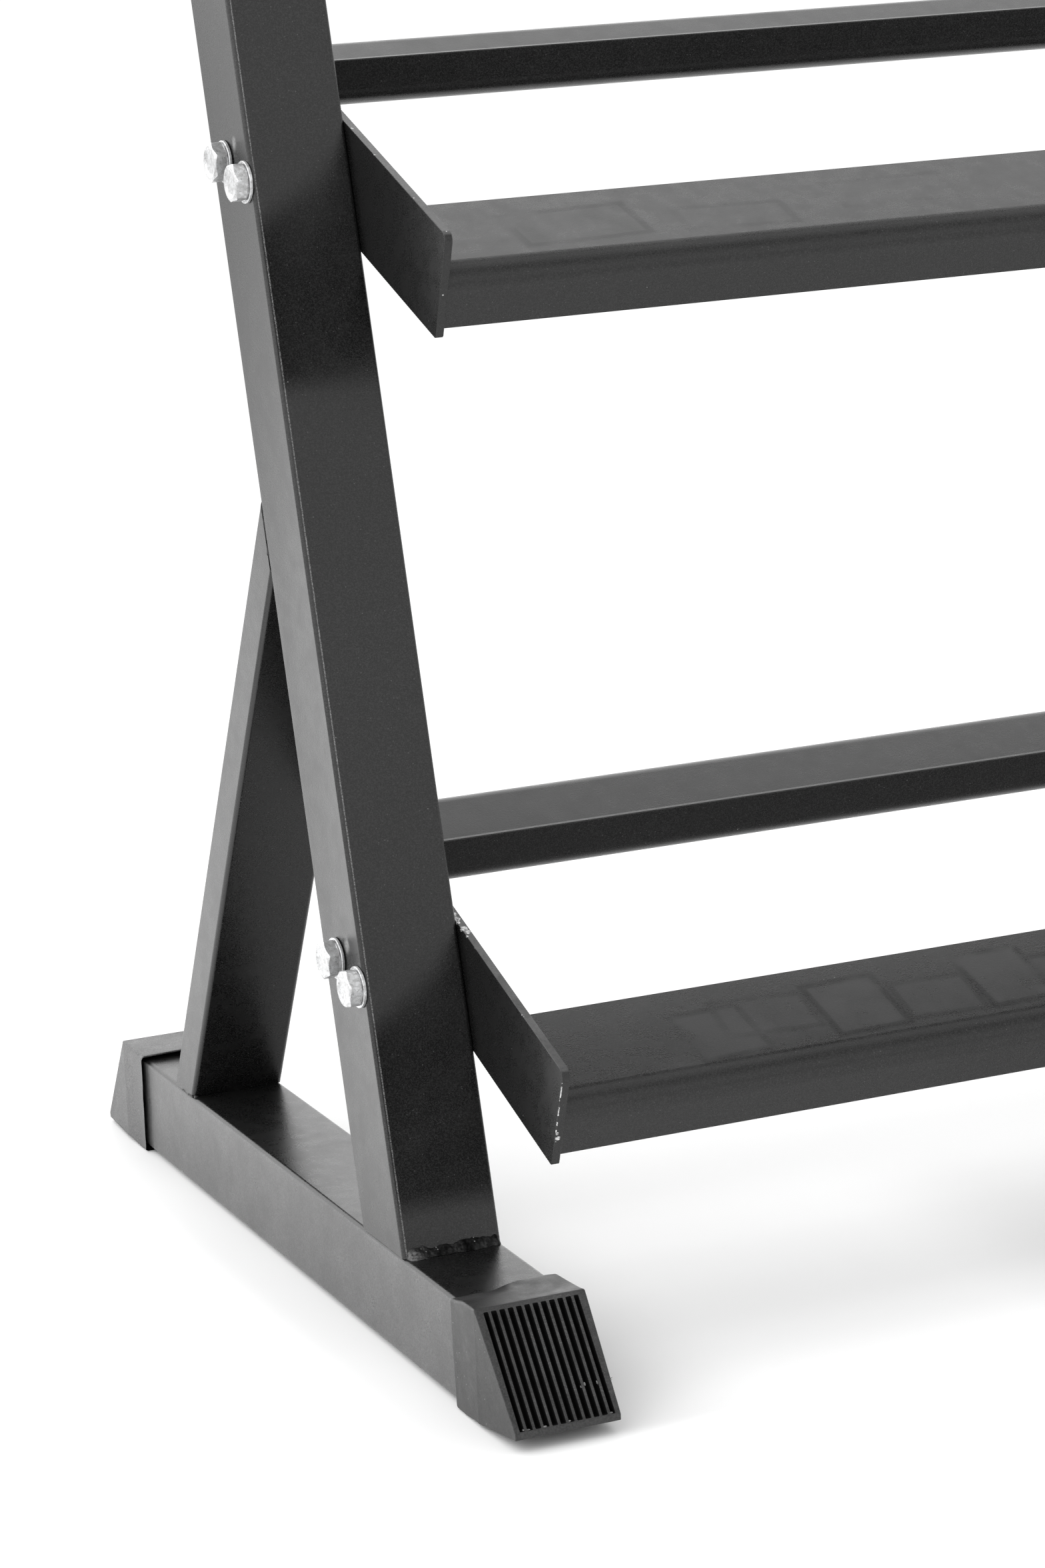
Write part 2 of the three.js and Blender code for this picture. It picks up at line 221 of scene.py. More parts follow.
def mesh_of(name, V, F):
    me = bpy.data.meshes.new(name)
    me.from_pydata([tuple(v) for v in V], [], [tuple(f) for f in F])
    me.validate(verbose=False)
    bm = bmesh.new()
    bm.from_mesh(me)
    bmesh.ops.recalc_face_normals(bm, faces=bm.faces)
    bm.to_mesh(me)
    bm.free()
    me.update()
    return me


def shade(me, sharp=35.0):
    me.polygons.foreach_set("use_smooth", [True] * len(me.polygons))
    me.set_sharp_from_angle(angle=math.radians(sharp))


def weighted(o):
    m = o.modifiers.new("weighted", "WEIGHTED_NORMAL")
    m.keep_sharp = True
    m.weight = 60
    m.mode = "FACE_AREA"


def piece(name, me, mat, nodes=(), sharp=35.0, wn=True):
    o = bpy.data.objects.new(name, me)
    bpy.context.scene.collection.objects.link(o)
    shade(me, sharp)
    if wn:
        weighted(o)
    for m in mat if isinstance(mat, (list, tuple)) else [mat]:
        if m.name not in [x.name for x in me.materials if x]:
            me.materials.append(m)
    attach(o, "root")
    if nodes:
        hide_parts(*([nodes] if isinstance(nodes, str) else nodes))
    return o


def cut(me, cutters, op="DIFFERENCE", mats=()):
    """me less each cutter mesh, as a new mesh (exact boolean). With two mats, cut faces take the second."""
    a = bpy.data.objects.new("cut_a", me)
    bpy.context.scene.collection.objects.link(a)
    for m in mats:
        me.materials.append(m)
    extra = []
    for c in cutters:
        b = bpy.data.objects.new("cut_b", c)
        bpy.context.scene.collection.objects.link(b)
        if len(mats) > 1:
            for m in mats:
                c.materials.append(m)
            c.polygons.foreach_set("material_index", [1] * len(c.polygons))
        m = a.modifiers.new("b", "BOOLEAN")
        m.operation = op
        m.solver = "EXACT"
        m.object = b
        extra.append(b)
    bpy.context.view_layer.update()
    dg = bpy.context.evaluated_depsgraph_get()
    out = bpy.data.meshes.new_from_object(a.evaluated_get(dg), depsgraph=dg)
    for o in [a] + extra:
        d = o.data
        bpy.data.objects.remove(o)
        if d.users == 0:
            bpy.data.meshes.remove(d)
    return out


# ------------------------------------------------------------------- materials
class Nodes:
    """Small helper for node trees."""

    def __init__(self, name):
        self.mat = bpy.data.materials.new(name)
        self.mat.use_nodes = True
        self.t = self.mat.node_tree
        self.t.nodes.clear()
        self.out = self.t.nodes.new("ShaderNodeOutputMaterial")
        self.bsdf = self.t.nodes.new("ShaderNodeBsdfPrincipled")
        self.t.links.new(self.bsdf.outputs[0], self.out.inputs["Surface"])
        self.tc = self.t.nodes.new("ShaderNodeTexCoord")
        self.pos = self.tc.outputs["Object"]

    def put(self, sock, value):
        if hasattr(value, "is_linked") or isinstance(value, bpy.types.NodeSocket):
            self.t.links.new(value, sock)
        else:
            sock.default_value = value

    def math(self, op, a, b=0.0, c=None, clamp=False):
        n = self.t.nodes.new("ShaderNodeMath")
        n.operation = op
        n.use_clamp = clamp
        self.put(n.inputs[0], a)
        if len(n.inputs) > 1:
            self.put(n.inputs[1], b)
        if c is not None:
            self.put(n.inputs[2], c)
        return n.outputs[0]

    def step(self, v, a, b, lo=0.0, hi=1.0):
        n = self.t.nodes.new("ShaderNodeMapRange")
        n.interpolation_type = "SMOOTHSTEP"
        self.put(n.inputs["Value"], v)
        n.inputs["From Min"].default_value = a
        n.inputs["From Max"].default_value = b
        n.inputs["To Min"].default_value = lo
        n.inputs["To Max"].default_value = hi
        return n.outputs[0]

    def lin(self, v, a, b, lo=0.0, hi=1.0):
        n = self.t.nodes.new("ShaderNodeMapRange")
        self.put(n.inputs["Value"], v)
        n.inputs["From Min"].default_value = a
        n.inputs["From Max"].default_value = b
        n.inputs["To Min"].default_value = lo
        n.inputs["To Max"].default_value = hi
        return n.outputs[0]

    def noise(self, scale, detail=2.0, rough=0.5, vec=None, dist=0.0, dims=None):
        n = self.t.nodes.new("ShaderNodeTexNoise")
        if dims:
            n.noise_dimensions = dims
        self.put(n.inputs["Vector"], self.pos if vec is None else vec)
        n.inputs["Scale"].default_value = scale
        n.inputs["Detail"].default_value = detail
        n.inputs["Roughness"].default_value = rough
        n.inputs["Distortion"].default_value = dist
        return n.outputs["Fac"] if "Fac" in n.outputs else n.outputs[0]

    def voronoi(self, scale, feature="F1", vec=None, rand=1.0):
        n = self.t.nodes.new("ShaderNodeTexVoronoi")
        n.feature = feature
        self.put(n.inputs["Vector"], self.pos if vec is None else vec)
        n.inputs["Scale"].default_value = scale
        n.inputs["Randomness"].default_value = rand
        return n

    def xyz(self, v=None):
        n = self.t.nodes.new("ShaderNodeSeparateXYZ")
        self.put(n.inputs[0], self.pos if v is None else v)
        return n.outputs[0], n.outputs[1], n.outputs[2]

    def vec(self, x, y, z):
        n = self.t.nodes.new("ShaderNodeCombineXYZ")
        for s, v in zip(n.inputs, (x, y, z)):
            self.put(s, v)
        return n.outputs[0]

    def scaled(self, v, s):
        n = self.t.nodes.new("ShaderNodeVectorMath")
        n.operation = "MULTIPLY"
        self.put(n.inputs[0], v)
        n.inputs[1].default_value = s
        return n.outputs[0]

    def mix(self, f, a, b):
        n = self.t.nodes.new("ShaderNodeMix")
        n.data_type = "RGBA"
        self.put(n.inputs[0], f)
        self.put(n.inputs[6], a if not isinstance(a, tuple) or len(a) == 4 else (*a, 1))
        self.put(n.inputs[7], b if not isinstance(b, tuple) or len(b) == 4 else (*b, 1))
        return n.outputs[2]

    def bump(self, h, dist, strength=1.0, normal=None):
        n = self.t.nodes.new("ShaderNodeBump")
        n.inputs["Strength"].default_value = strength
        n.inputs["Distance"].default_value = dist
        self.put(n.inputs["Height"], h)
        if normal is not None:
            self.put(n.inputs["Normal"], normal)
        return n.outputs[0]

    def normal(self):
        n = self.t.nodes.new("ShaderNodeNewGeometry")
        return n.outputs["Normal"]


def grey(v, tint=0.0):
    return (v * (1 - tint), v, v * (1 + tint), 1.0)


def tier_coords(N, k):
    """Object position as (x, s, n) of tier k, in metres."""
    x, y, z = N.xyz()
    dy = N.math("SUBTRACT", y, (TIER_Y + k * PITCH * SA - YO) / 1000.0)
    dz = N.math("SUBTRACT", z, (TIER_Z + k * PITCH * CA + ZO) / 1000.0)
    s = N.math("ADD", N.math("MULTIPLY", dy, CT), N.math("MULTIPLY", dz, ST))
    n = N.math("SUBTRACT", N.math("MULTIPLY", dz, CT), N.math("MULTIPLY", dy, ST))
    return x, s, n


def coat(name, chips=(), marks=(), dusty=0.0, arris=None, edge=False, lines=(), lip=None, painted_bolt_light=(), film=0.0, bands=False):
    """Satin black powder coat: fine grain, slight tone drift, sparse pale specks.
    chips: (x, y, z, radius) in metres where bare metal shows.
    marks: soft rectangles (tier, x, s, half x, half s, turn) rubbed into the coat.
    arris: distance from x = 0 (m) of a painted highlight, a thin pale speckled line on faces that look forward, along
    the rounded arris.
    lines: (tier, x, s, n low, n high) thin broken scratches along a plate's front arris.
    edge: a plate's sheared top edge is handled duller and paler.
    lip: sheen level on faces that look forward down the slope, as a rear rail's raised lip; lowered there as painted
    shade, so these faces reflect less.
    painted_bolt_light: (x, y, z, radius) soft pale patches of painted light, light thrown back onto the coat by a bolt
    head.
    film: grey dust film on faces that look sideways, as kicked up onto a foot tube.
    bands: painted shade, the upright's front face given less sheen beside each end plate, most of all towards its outer
    side, standing in for the dark reflection of the rails."""
    N = Nodes(name)
    b = N.bsdf
    drift = N.noise(7.0, 3.0, 0.55)
    mid = N.noise(90.0, 3.0, 0.6)
    grain = N.noise(1150.0, 1.0, 0.5)
    fine = N.noise(2300.0, 0.0, 0.5)
    tone = N.math("ADD", N.math("MULTIPLY", drift, 0.6), N.math("MULTIPLY", mid, 0.4))
    g = N.math("ADD", N.math("MULTIPLY", grain, 0.6), N.math("MULTIPLY", fine, 0.4))
    dark = N.mix(N.step(tone, 0.38, 0.62), grey(0.0028), grey(0.0038))
    light = N.mix(N.step(tone, 0.38, 0.62), grey(0.0110), grey(0.0140))
    col = N.mix(N.step(g, 0.42, 0.68), dark, light)
    # pale specks of two sizes
    v = N.voronoi(150.0)
    cr, cg, cb = N.xyz(v.outputs["Color"])
    size = N.lin(cg, 0.0, 1.0, 0.018, 0.045)
    near = N.math("LESS_THAN", v.outputs["Distance"], size)
    speck = N.math("MULTIPLY", near, N.math("MULTIPLY", N.math("GREATER_THAN", cr, 0.72), N.lin(cb, 0.0, 1.0, 0.18, 1.0)))
    v2 = N.voronoi(620.0)
    dr, dg, db = N.xyz(v2.outputs["Color"])
    speck2 = N.math("MULTIPLY", N.math("LESS_THAN", v2.outputs["Distance"], 0.16), N.math("MULTIPLY", N.math("GREATER_THAN", dr, 0.82), N.lin(dg, 0.0, 1.0, 0.03, 0.30)))
    specks = N.math("MAXIMUM", speck, speck2)
    col = N.mix(N.math("MULTIPLY", specks, 0.8), col, grey(0.24))
    rough = N.math("ADD", N.lin(mid, 0.3, 0.7, 0.25, 0.32), N.lin(g, 0.4, 0.6, -0.02, 0.03))
    # faint dust on faces that look up
    nx, ny, nz = N.xyz(N.normal())
    up = N.step(nz, 0.55, 0.95)
    dust = N.math("MULTIPLY", up, N.step(N.noise(16.0, 5.0, 0.62), 0.42, 0.75))
    col = N.mix(N.math("MULTIPLY", dust, 0.05 + dusty), col, grey(0.16))
    rough = N.math("ADD", rough, N.math("MULTIPLY", dust, 0.05))
    if film:
        away = N.step(N.math("ABSOLUTE", nx), 0.80, 0.97)
        film = N.math("MULTIPLY", away, N.math("MULTIPLY", N.step(N.noise(30.0, 5.0, 0.6), 0.25, 0.75, film * 0.75, film * 1.15), N.step(g, 0.40, 0.64, 0.55, 1.35)))
        col = N.mix(film, col, grey(0.30))
        rough = N.math("ADD", rough, N.math("MULTIPLY", away, 0.03))
    if edge:
        facing = N.math("SUBTRACT", N.math("MULTIPLY", nz, CT), N.math("MULTIPLY", ny, ST))
        worn = N.math("MULTIPLY", N.step(facing, 0.72, 0.94), N.step(N.noise(70.0, 4.0, 0.65), 0.22, 0.70, 0.35, 1.0))
        worn = N.math("MULTIPLY", worn, N.step(N.noise(800.0, 2.0, 0.6), 0.25, 0.65, 0.55, 1.0))
        col = N.mix(worn, col, grey(0.085))
        rough = N.math("ADD", rough, N.math("MULTIPLY", worn, 0.10))
    # painted highlight: a thin pale speckled line along the upright's front arris
    if arris is not None:
        x, y, z = N.xyz()
        ax = N.math("ABSOLUTE", x)
        off = N.math("ABSOLUTE", N.math("SUBTRACT", ax, arris))
        wob = N.math("MULTIPLY", N.math("SUBTRACT", N.noise(120.0, 2.0, 0.5), 0.5), 0.0003)
        line = N.step(N.math("ADD", off, wob), 0.00012, 0.00048, 1.0, 0.0)
        front = N.step(N.math("MULTIPLY", ny, -1.0), 0.72, 0.90)
        dots = N.step(N.noise(1900.0, 2.0, 0.6), 0.42, 0.58, 0.18, 1.0)
        keep = N.step(N.noise(26.0, 3.0, 0.6), 0.20, 0.50, 0.40, 1.0)
        arris_highlight = N.math("MULTIPLY", N.math("MULTIPLY", line, front), N.math("MULTIPLY", dots, keep))
        col = N.mix(N.math("MULTIPLY", arris_highlight, 0.85), col, grey(0.22))
        rough = N.math("ADD", rough, N.math("MULTIPLY", arris_highlight, 0.15))
    if marks:
        total = None
        ring = None
        done = {}
        for (k, mx, ms, hx, hs, turn, amount) in marks:
            if k not in done:
                done[k] = tier_coords(N, k)
            x, s, n = done[k]
            dx, ds = N.math("SUBTRACT", x, mx), N.math("SUBTRACT", s, ms)
            c, q = math.cos(turn), math.sin(turn)
            u = N.math("ADD", N.math("MULTIPLY", dx, c), N.math("MULTIPLY", ds, q))
            w = N.math("SUBTRACT", N.math("MULTIPLY", ds, c), N.math("MULTIPLY", dx, q))
            e = N.math("MAXIMUM", N.math("SUBTRACT", N.math("ABSOLUTE", u), hx), N.math("SUBTRACT", N.math("ABSOLUTE", w), hs))
            rim = N.math("MULTIPLY", N.step(e, -0.0035, -0.0012), N.step(e, 0.0004, 0.0022, 1.0, 0.0))
            fill = N.math("MULTIPLY", N.step(e, -0.0025, 0.0005, 1.0, 0.0), 0.80)
            outer = N.math("MULTIPLY", N.step(e, -0.0010, 0.0004), N.step(e, 0.0022, 0.0052, 1.0, 0.0))
            outer = N.math("MULTIPLY", outer, amount)
            ring = outer if ring is None else N.math("MAXIMUM", ring, outer)
            m = N.math("MULTIPLY", N.math("MAXIMUM", N.math("MULTIPLY", rim, 0.5), fill), amount)
            total = m if total is None else N.math("MAXIMUM", total, m)
        broken = N.step(N.noise(38.0, 3.0, 0.6), 0.30, 0.62, 0.25, 1.0)
        total = N.math("MULTIPLY", N.math("MULTIPLY", total, broken), up)
        ring = N.math("MULTIPLY", N.math("MULTIPLY", ring, N.step(N.noise(24.0, 3.0, 0.6, vec=N.scaled(N.pos, (1.0, 1.3, 1.0))), 0.34, 0.56, 0.1, 1.0)), up)
        N.put(b.inputs["Specular IOR Level"], N.math("SUBTRACT", N.lin(g, 0.4, 0.6, 0.48, 0.52), N.math("MULTIPLY", ring, 0.20)))
        rough = N.math("ADD", rough, N.math("MULTIPLY", total, 0.06))
        col = N.mix(total, col, grey(0.022))
    # painted light: soft pale patches beside the bolts, light thrown back by a bolt head
    if painted_bolt_light:
        total = None
        for cx, cy, cz, cr_ in painted_bolt_light:
            d = N.t.nodes.new("ShaderNodeVectorMath")
            d.operation = "DISTANCE"
            N.put(d.inputs[0], N.scaled(N.pos, (1.0, 1.0, 0.85)))
            d.inputs[1].default_value = (cx, cy, cz * 0.85)
            m = N.step(d.outputs["Value"], cr_ * 0.2, cr_, 1.0, 0.0)
            total = m if total is None else N.math("MAXIMUM", total, m)
        total = N.math("MULTIPLY", total, N.step(N.noise(650.0, 3.0, 0.6), 0.34, 0.62, 0.4, 1.0))
        col = N.mix(N.math("MULTIPLY", total, 0.55), col, grey(0.40))
        rough = N.math("ADD", rough, N.math("MULTIPLY", total, 0.15))
    # painted shade: faces that look forward down the slope are given less sheen
    if lip is not None:
        ahead = N.math("MULTIPLY", N.math("ADD", N.math("MULTIPLY", ny, CT), N.math("MULTIPLY", nz, ST)), -1.0)
        N.put(b.inputs["Specular IOR Level"], N.math("ADD", N.step(ahead, 0.86, 0.98, 0.5, lip), N.lin(g, 0.4, 0.6, -0.02, 0.02)))
    # painted shade: less sheen on the upright's front face beside each end plate, for the rails' dark reflection
    if bands:
        x, y, z = N.xyz()
        t = N.math("DIVIDE", N.math("SUBTRACT", z, 0.050), CA)
        inset = N.math("SUBTRACT", XO / 1000.0, N.math("ABSOLUTE", x))
        sloped = N.math("SUBTRACT", t, N.math("MULTIPLY", inset, 0.6))
        share = N.lin(inset, 0.004, 0.046, 1.0, 0.25)
        dull = None
        for k in range(3):
            t0, t1 = 0.024 + 0.388 * k, 0.110 + 0.379 * k
            m = N.math("MULTIPLY", N.step(t, t0 - 0.007, t0 + 0.009), N.step(sloped, t1 - 0.010, t1 + 0.010, 1.0, 0.0))
            m = N.math("MULTIPLY", m, N.math("MAXIMUM", share, N.step(t, 0.045, 0.080, 1.0, 0.0)) if k == 0 else share)
            dull = m if dull is None else N.math("MAXIMUM", dull, m)
        dull = N.math("MULTIPLY", dull, N.step(N.math("MULTIPLY", ny, -1.0), 0.80, 0.95))
        N.put(b.inputs["Specular IOR Level"], N.math("ADD", N.lin(dull, 0.0, 1.0, 0.5, 0.13), N.lin(g, 0.4, 0.6, -0.03, 0.03)))
    metal = None
    if chips or lines:
        total = None
        for cx, cy, cz, cr_ in chips:
            d = N.t.nodes.new("ShaderNodeVectorMath")
            d.operation = "DISTANCE"
            N.put(d.inputs[0], N.pos)
            d.inputs[1].default_value = (cx, cy, cz)
            m = N.step(d.outputs["Value"], cr_ * 0.35, cr_, 1.0, 0.0)
            total = m if total is None else N.math("MAXIMUM", total, m)
        for k, lx, ls, n0, n1 in lines:
            x, s, n = tier_coords(N, k)
            e = N.math("MAXIMUM", N.math("ABSOLUTE", N.math("SUBTRACT", x, lx)), N.math("ABSOLUTE", N.math("SUBTRACT", s, ls)))
            m = N.step(e, 0.00016, 0.00052, 1.15, 0.0)
            m = N.math("MULTIPLY", m, N.math("MULTIPLY", N.step(n, n0, n0 + 0.002), N.step(n, n1 - 0.002, n1, 1.0, 0.0)))
            m = N.math("MULTIPLY", m, N.step(N.noise(210.0, 2.0, 0.6), 0.32, 0.44))
            total = m if total is None else N.math("MAXIMUM", total, m)
        ragged = N.noise(900.0, 3.0, 0.65)
        metal = N.step(N.math("ADD", total, N.math("MULTIPLY", N.math("SUBTRACT", ragged, 0.5), 1.5)), 0.80, 0.96)
        metal = N.math("MULTIPLY", metal, N.step(total, 0.02, 0.10))
        col = N.mix(metal, col, N.mix(N.step(N.noise(1400.0, 2.0, 0.6), 0.36, 0.64), grey(0.28), grey(0.72)))
        rough = N.math("ADD", N.math("MULTIPLY", rough, N.math("SUBTRACT", 1.0, metal)), N.math("MULTIPLY", metal, 0.42))
        N.put(b.inputs["Metallic"], N.math("MULTIPLY", metal, 0.6))
    N.put(b.inputs["Base Color"], col)
    N.put(b.inputs["Roughness"], rough)
    b.inputs["IOR"].default_value = 1.5
    h = N.math("ADD", N.math("MULTIPLY", fine, 0.5), grain)
    if metal is not None:
        h = N.math("SUBTRACT", h, N.math("MULTIPLY", metal, 3.0))
    nrm = N.bump(h, 0.000034, 1.0)
    nrm = N.bump(N.noise(520.0, 1.0, 0.5), 0.000015, 1.0, nrm)
    nrm = N.bump(N.noise(110.0, 2.0, 0.5), 0.000025, 1.0, nrm)
    N.put(b.inputs["Normal"], nrm)
    return N.mat


def weld_coat():
    """Coat over a weld: uneven sheen, painted shade in the crevices (colour darkest where the bump sinks), grit, and a
    paler patch at the start of the left front bead.
    """
    N = Nodes("weld_under_coat")
    b = N.bsdf
    n = N.noise(420.0, 4.0, 0.65)
    g = N.noise(1500.0, 1.0, 0.5)
    v = N.voronoi(520.0)
    r = N.xyz(v.outputs["Color"])[0]
    speck = N.math("MULTIPLY", N.math("LESS_THAN", v.outputs["Distance"], 0.17), N.math("GREATER_THAN", r, 0.70))
    # painted shade: colour darkest where the bump noise sinks, in the weld's crevices
    col = N.mix(N.step(n, 0.42, 0.74), grey(0.0008), grey(0.0150))
    d = N.t.nodes.new("ShaderNodeVectorMath")
    d.operation = "DISTANCE"
    N.put(d.inputs[0], N.pos)
    d.inputs[1].default_value = tuple(float(q) for q in to_frame([[4.4, -2.4, 51.4]], "left")[0])
    pale = N.math("MULTIPLY", N.step(d.outputs["Value"], 0.0012, 0.0055, 1.0, 0.0), N.step(N.noise(700.0, 4.0, 0.65), 0.36, 0.60, 0.10, 1.0))
    col = N.mix(N.math("MULTIPLY", pale, 0.8), col, grey(0.14))
    N.put(b.inputs["Base Color"], N.mix(N.math("MULTIPLY", speck, 0.8), col, grey(0.24)))
    N.put(b.inputs["Roughness"], N.lin(g, 0.3, 0.7, 0.34, 0.55))
    N.put(b.inputs["Specular IOR Level"], N.step(N.noise(160.0, 3.0, 0.6), 0.35, 0.68, 0.08, 0.55))
    nrm = N.bump(n, 0.00030, 1.0)
    N.put(b.inputs["Normal"], N.bump(g, 0.00003, 1.0, nrm))
    return N.mat


def zinc(name="bright_zinc", dull=0.0):
    """Bright zinc plate: uneven sheen with grey handling stains."""
    N = Nodes(name)
    b = N.bsdf
    b.inputs["Metallic"].default_value = 0.70
    n = N.noise(420.0, 4.0, 0.62, dist=0.5)
    stain = N.noise(900.0, 3.0, 0.6)
    fine = N.noise(2600.0, 1.0, 0.5)
    col = N.mix(N.step(n, 0.34, 0.66), grey(0.42), grey(0.64, 0.01))
    col = N.mix(N.math("MULTIPLY", N.step(stain, 0.56, 0.70), 0.55), col, grey(0.14))
    N.put(b.inputs["Base Color"], col)
    N.put(b.inputs["Roughness"], N.lin(n, 0.3, 0.7, 0.40 + dull, 0.27 + dull))
    nrm = N.bump(fine, 0.000008, 1.0)
    nrm = N.bump(stain, 0.00002, 1.0, nrm)
    N.put(b.inputs["Normal"], N.bump(n, 0.00007, 1.0, nrm))
    return N.mat


def moulded(name, base=0.016, rough=(0.36, 0.50), smudge=0.5, seed=0.0):
    """Black moulded foot cap: satin, handled, with pale scuffs and smudges."""
    N = Nodes(name)
    b = N.bsdf
    off = N.t.nodes.new("ShaderNodeVectorMath")
    off.operation = "ADD"
    N.put(off.inputs[0], N.pos)
    off.inputs[1].default_value = (seed, seed * 0.37, seed * 0.71)
    p = off.outputs[0]
    big = N.noise(22.0, 4.0, 0.6, vec=p, dist=0.6)
    mid = N.noise(120.0, 3.0, 0.6, vec=p)
    grain = N.noise(1300.0, 1.0, 0.5, vec=p)
    nx, ny, nz = N.xyz(N.normal())
    up = N.step(nz, 0.5, 0.95)
    col = N.mix(N.step(grain, 0.36, 0.66), grey(base * 0.45), grey(base * 1.5))
    col = N.mix(N.math("MULTIPLY", N.step(mid, 0.40, 0.72), 0.35), col, grey(base * 2.2))
    sm = N.math("MULTIPLY", N.step(big, 0.44, 0.70), N.step(nz, 0.4, 0.9, 0.30, 1.0))
    col = N.mix(N.math("MULTIPLY", sm, smudge * 0.45), col, grey(0.115))
    # thin scuffs
    sc = N.noise(60.0, 5.0, 0.7, vec=N.scaled(p, (1.0, 5.0, 1.0)))
    thin = N.math("MULTIPLY", N.step(N.math("ABSOLUTE", N.math("SUBTRACT", sc, 0.56)), 0.0, 0.010, 1.0, 0.0), N.step(big, 0.5, 0.62))
    col = N.mix(N.math("MULTIPLY", thin, 0.30), col, grey(0.22))
    v = N.voronoi(330.0, vec=p)
    r = N.xyz(v.outputs["Color"])[0]
    speck = N.math("MULTIPLY", N.math("LESS_THAN", v.outputs["Distance"], 0.09), N.math("GREATER_THAN", r, 0.93))
    col = N.mix(N.math("MULTIPLY", speck, 0.7), col, grey(0.30))
    N.put(b.inputs["Base Color"], col)
    N.put(b.inputs["Roughness"], N.math("ADD", N.lin(mid, 0.3, 0.7, rough[0], rough[1]), N.math("MULTIPLY", sm, -0.04)))
    nrm = N.bump(grain, 0.000022, 1.0)
    nrm = N.bump(mid, 0.00008, 1.0, nrm)
    nrm = N.bump(big, 0.0004, 1.0, nrm)
    N.put(b.inputs["Normal"], nrm)
    return N.mat


def recess_shade(name):
    """Painted shade: the inside of the foot cap's slots and socket, darker and with less sheen than the moulding
    outside.
    """
    N = Nodes(name)
    b = N.bsdf
    n = N.noise(260.0, 3.0, 0.6)
    N.put(b.inputs["Base Color"], N.mix(n, grey(0.0012), grey(0.0045)))
    N.put(b.inputs["Roughness"], N.lin(n, 0.3, 0.7, 0.80, 0.95))
    b.inputs["Specular IOR Level"].default_value = 0.10
    N.put(b.inputs["Normal"], N.bump(N.noise(1300.0, 1.0, 0.5), 0.00004, 1.0))
    return N.mat


# lit patches of the sweep: x0, x1, y0, y1, softness, brightness
POOLS = ((-1.0, -0.662, -0.35, 0.20, 0.038, 0.62), (-1.0, -0.662, 0.20, 0.60, 0.038, 0.70), (-1.15, -0.60, 0.60, 1.10, 0.08, 0.80),
         (-1.6, -0.5, 1.10, 2.0, 0.12, 0.94), (-2.6, -0.5, 2.0, 3.4, 0.2, 0.47), (-0.5, 1.2, 1.2, 2.4, 0.15, 0.16),
         (-0.50, -0.28, -0.40, -0.02, 0.05, 0.11), (-0.64, -0.50, -0.42, -0.286, 0.010, 0.20))


def floor_mat():
    """Pale seamless sweep: matt near the object, running out into plain white light."""
    N = Nodes("studio_floor")
    b = N.bsdf
    n = N.noise(3.0, 4.0, 0.5)
    N.put(b.inputs["Base Color"], N.mix(N.step(n, 0.3, 0.7), grey(0.795), grey(0.805)))
    N.put(b.inputs["Roughness"], N.lin(n, 0.3, 0.7, 0.62, 0.70))
    b.inputs["Specular IOR Level"].default_value = 0.2
    d = N.t.nodes.new("ShaderNodeVectorMath")
    d.operation = "DISTANCE"
    N.put(d.inputs[0], N.pos)
    d.inputs[1].default_value = (0.35, -0.25, 0.0)
    far = N.step(d.outputs["Value"], 1.05, 2.0)
    x, y, z = N.xyz()

    def pool(x0, x1, y0, y1, soft, amount):
        m = N.math("MULTIPLY", N.step(x, x0 - soft, x0 + soft), N.step(x, x1 - soft, x1 + soft, 1.0, 0.0))
        n_ = N.math("MULTIPLY", N.step(y, y0 - soft, y0 + soft), N.step(y, y1 - soft, y1 + soft, 1.0, 0.0))
        return N.math("MULTIPLY", N.math("MULTIPLY", m, n_), amount)
    glow = N.math("MULTIPLY", far, 1.08)
    for q in POOLS:
        glow = N.math("ADD", glow, pool(*q))
    matt = N.t.nodes.new("ShaderNodeMixShader")
    N.put(matt.inputs[0], far)
    N.t.links.new(b.outputs[0], matt.inputs[1])
    dark = N.t.nodes.new("ShaderNodeBsdfDiffuse")
    N.put(dark.inputs["Color"], N.mix(n, grey(0.0010), grey(0.0020)))
    N.t.links.new(dark.outputs[0], matt.inputs[2])
    em = N.t.nodes.new("ShaderNodeEmission")
    N.put(em.inputs["Strength"], glow)
    mx = N.t.nodes.new("ShaderNodeAddShader")
    N.t.links.new(matt.outputs[0], mx.inputs[0])
    N.t.links.new(em.outputs[0], mx.inputs[1])
    N.t.links.new(mx.outputs[0], N.out.inputs["Surface"])
    return N.mat


def nylon():
    N = Nodes("nylon_insert")
    b = N.bsdf
    n = N.noise(300.0, 3.0, 0.5)
    N.put(b.inputs["Base Color"], N.mix(n, (0.55, 0.57, 0.60, 1), (0.68, 0.70, 0.72, 1)))
    N.put(b.inputs["Roughness"], N.lin(n, 0.3, 0.7, 0.4, 0.55))
    b.inputs["Subsurface Weight"].default_value = 0.0
    return N.mat


# chips on the lower left end plate, in world metres
def tier_point(k, x, s, n):
    return from_tier(np.array([[x, s, n]], float), k)[0]


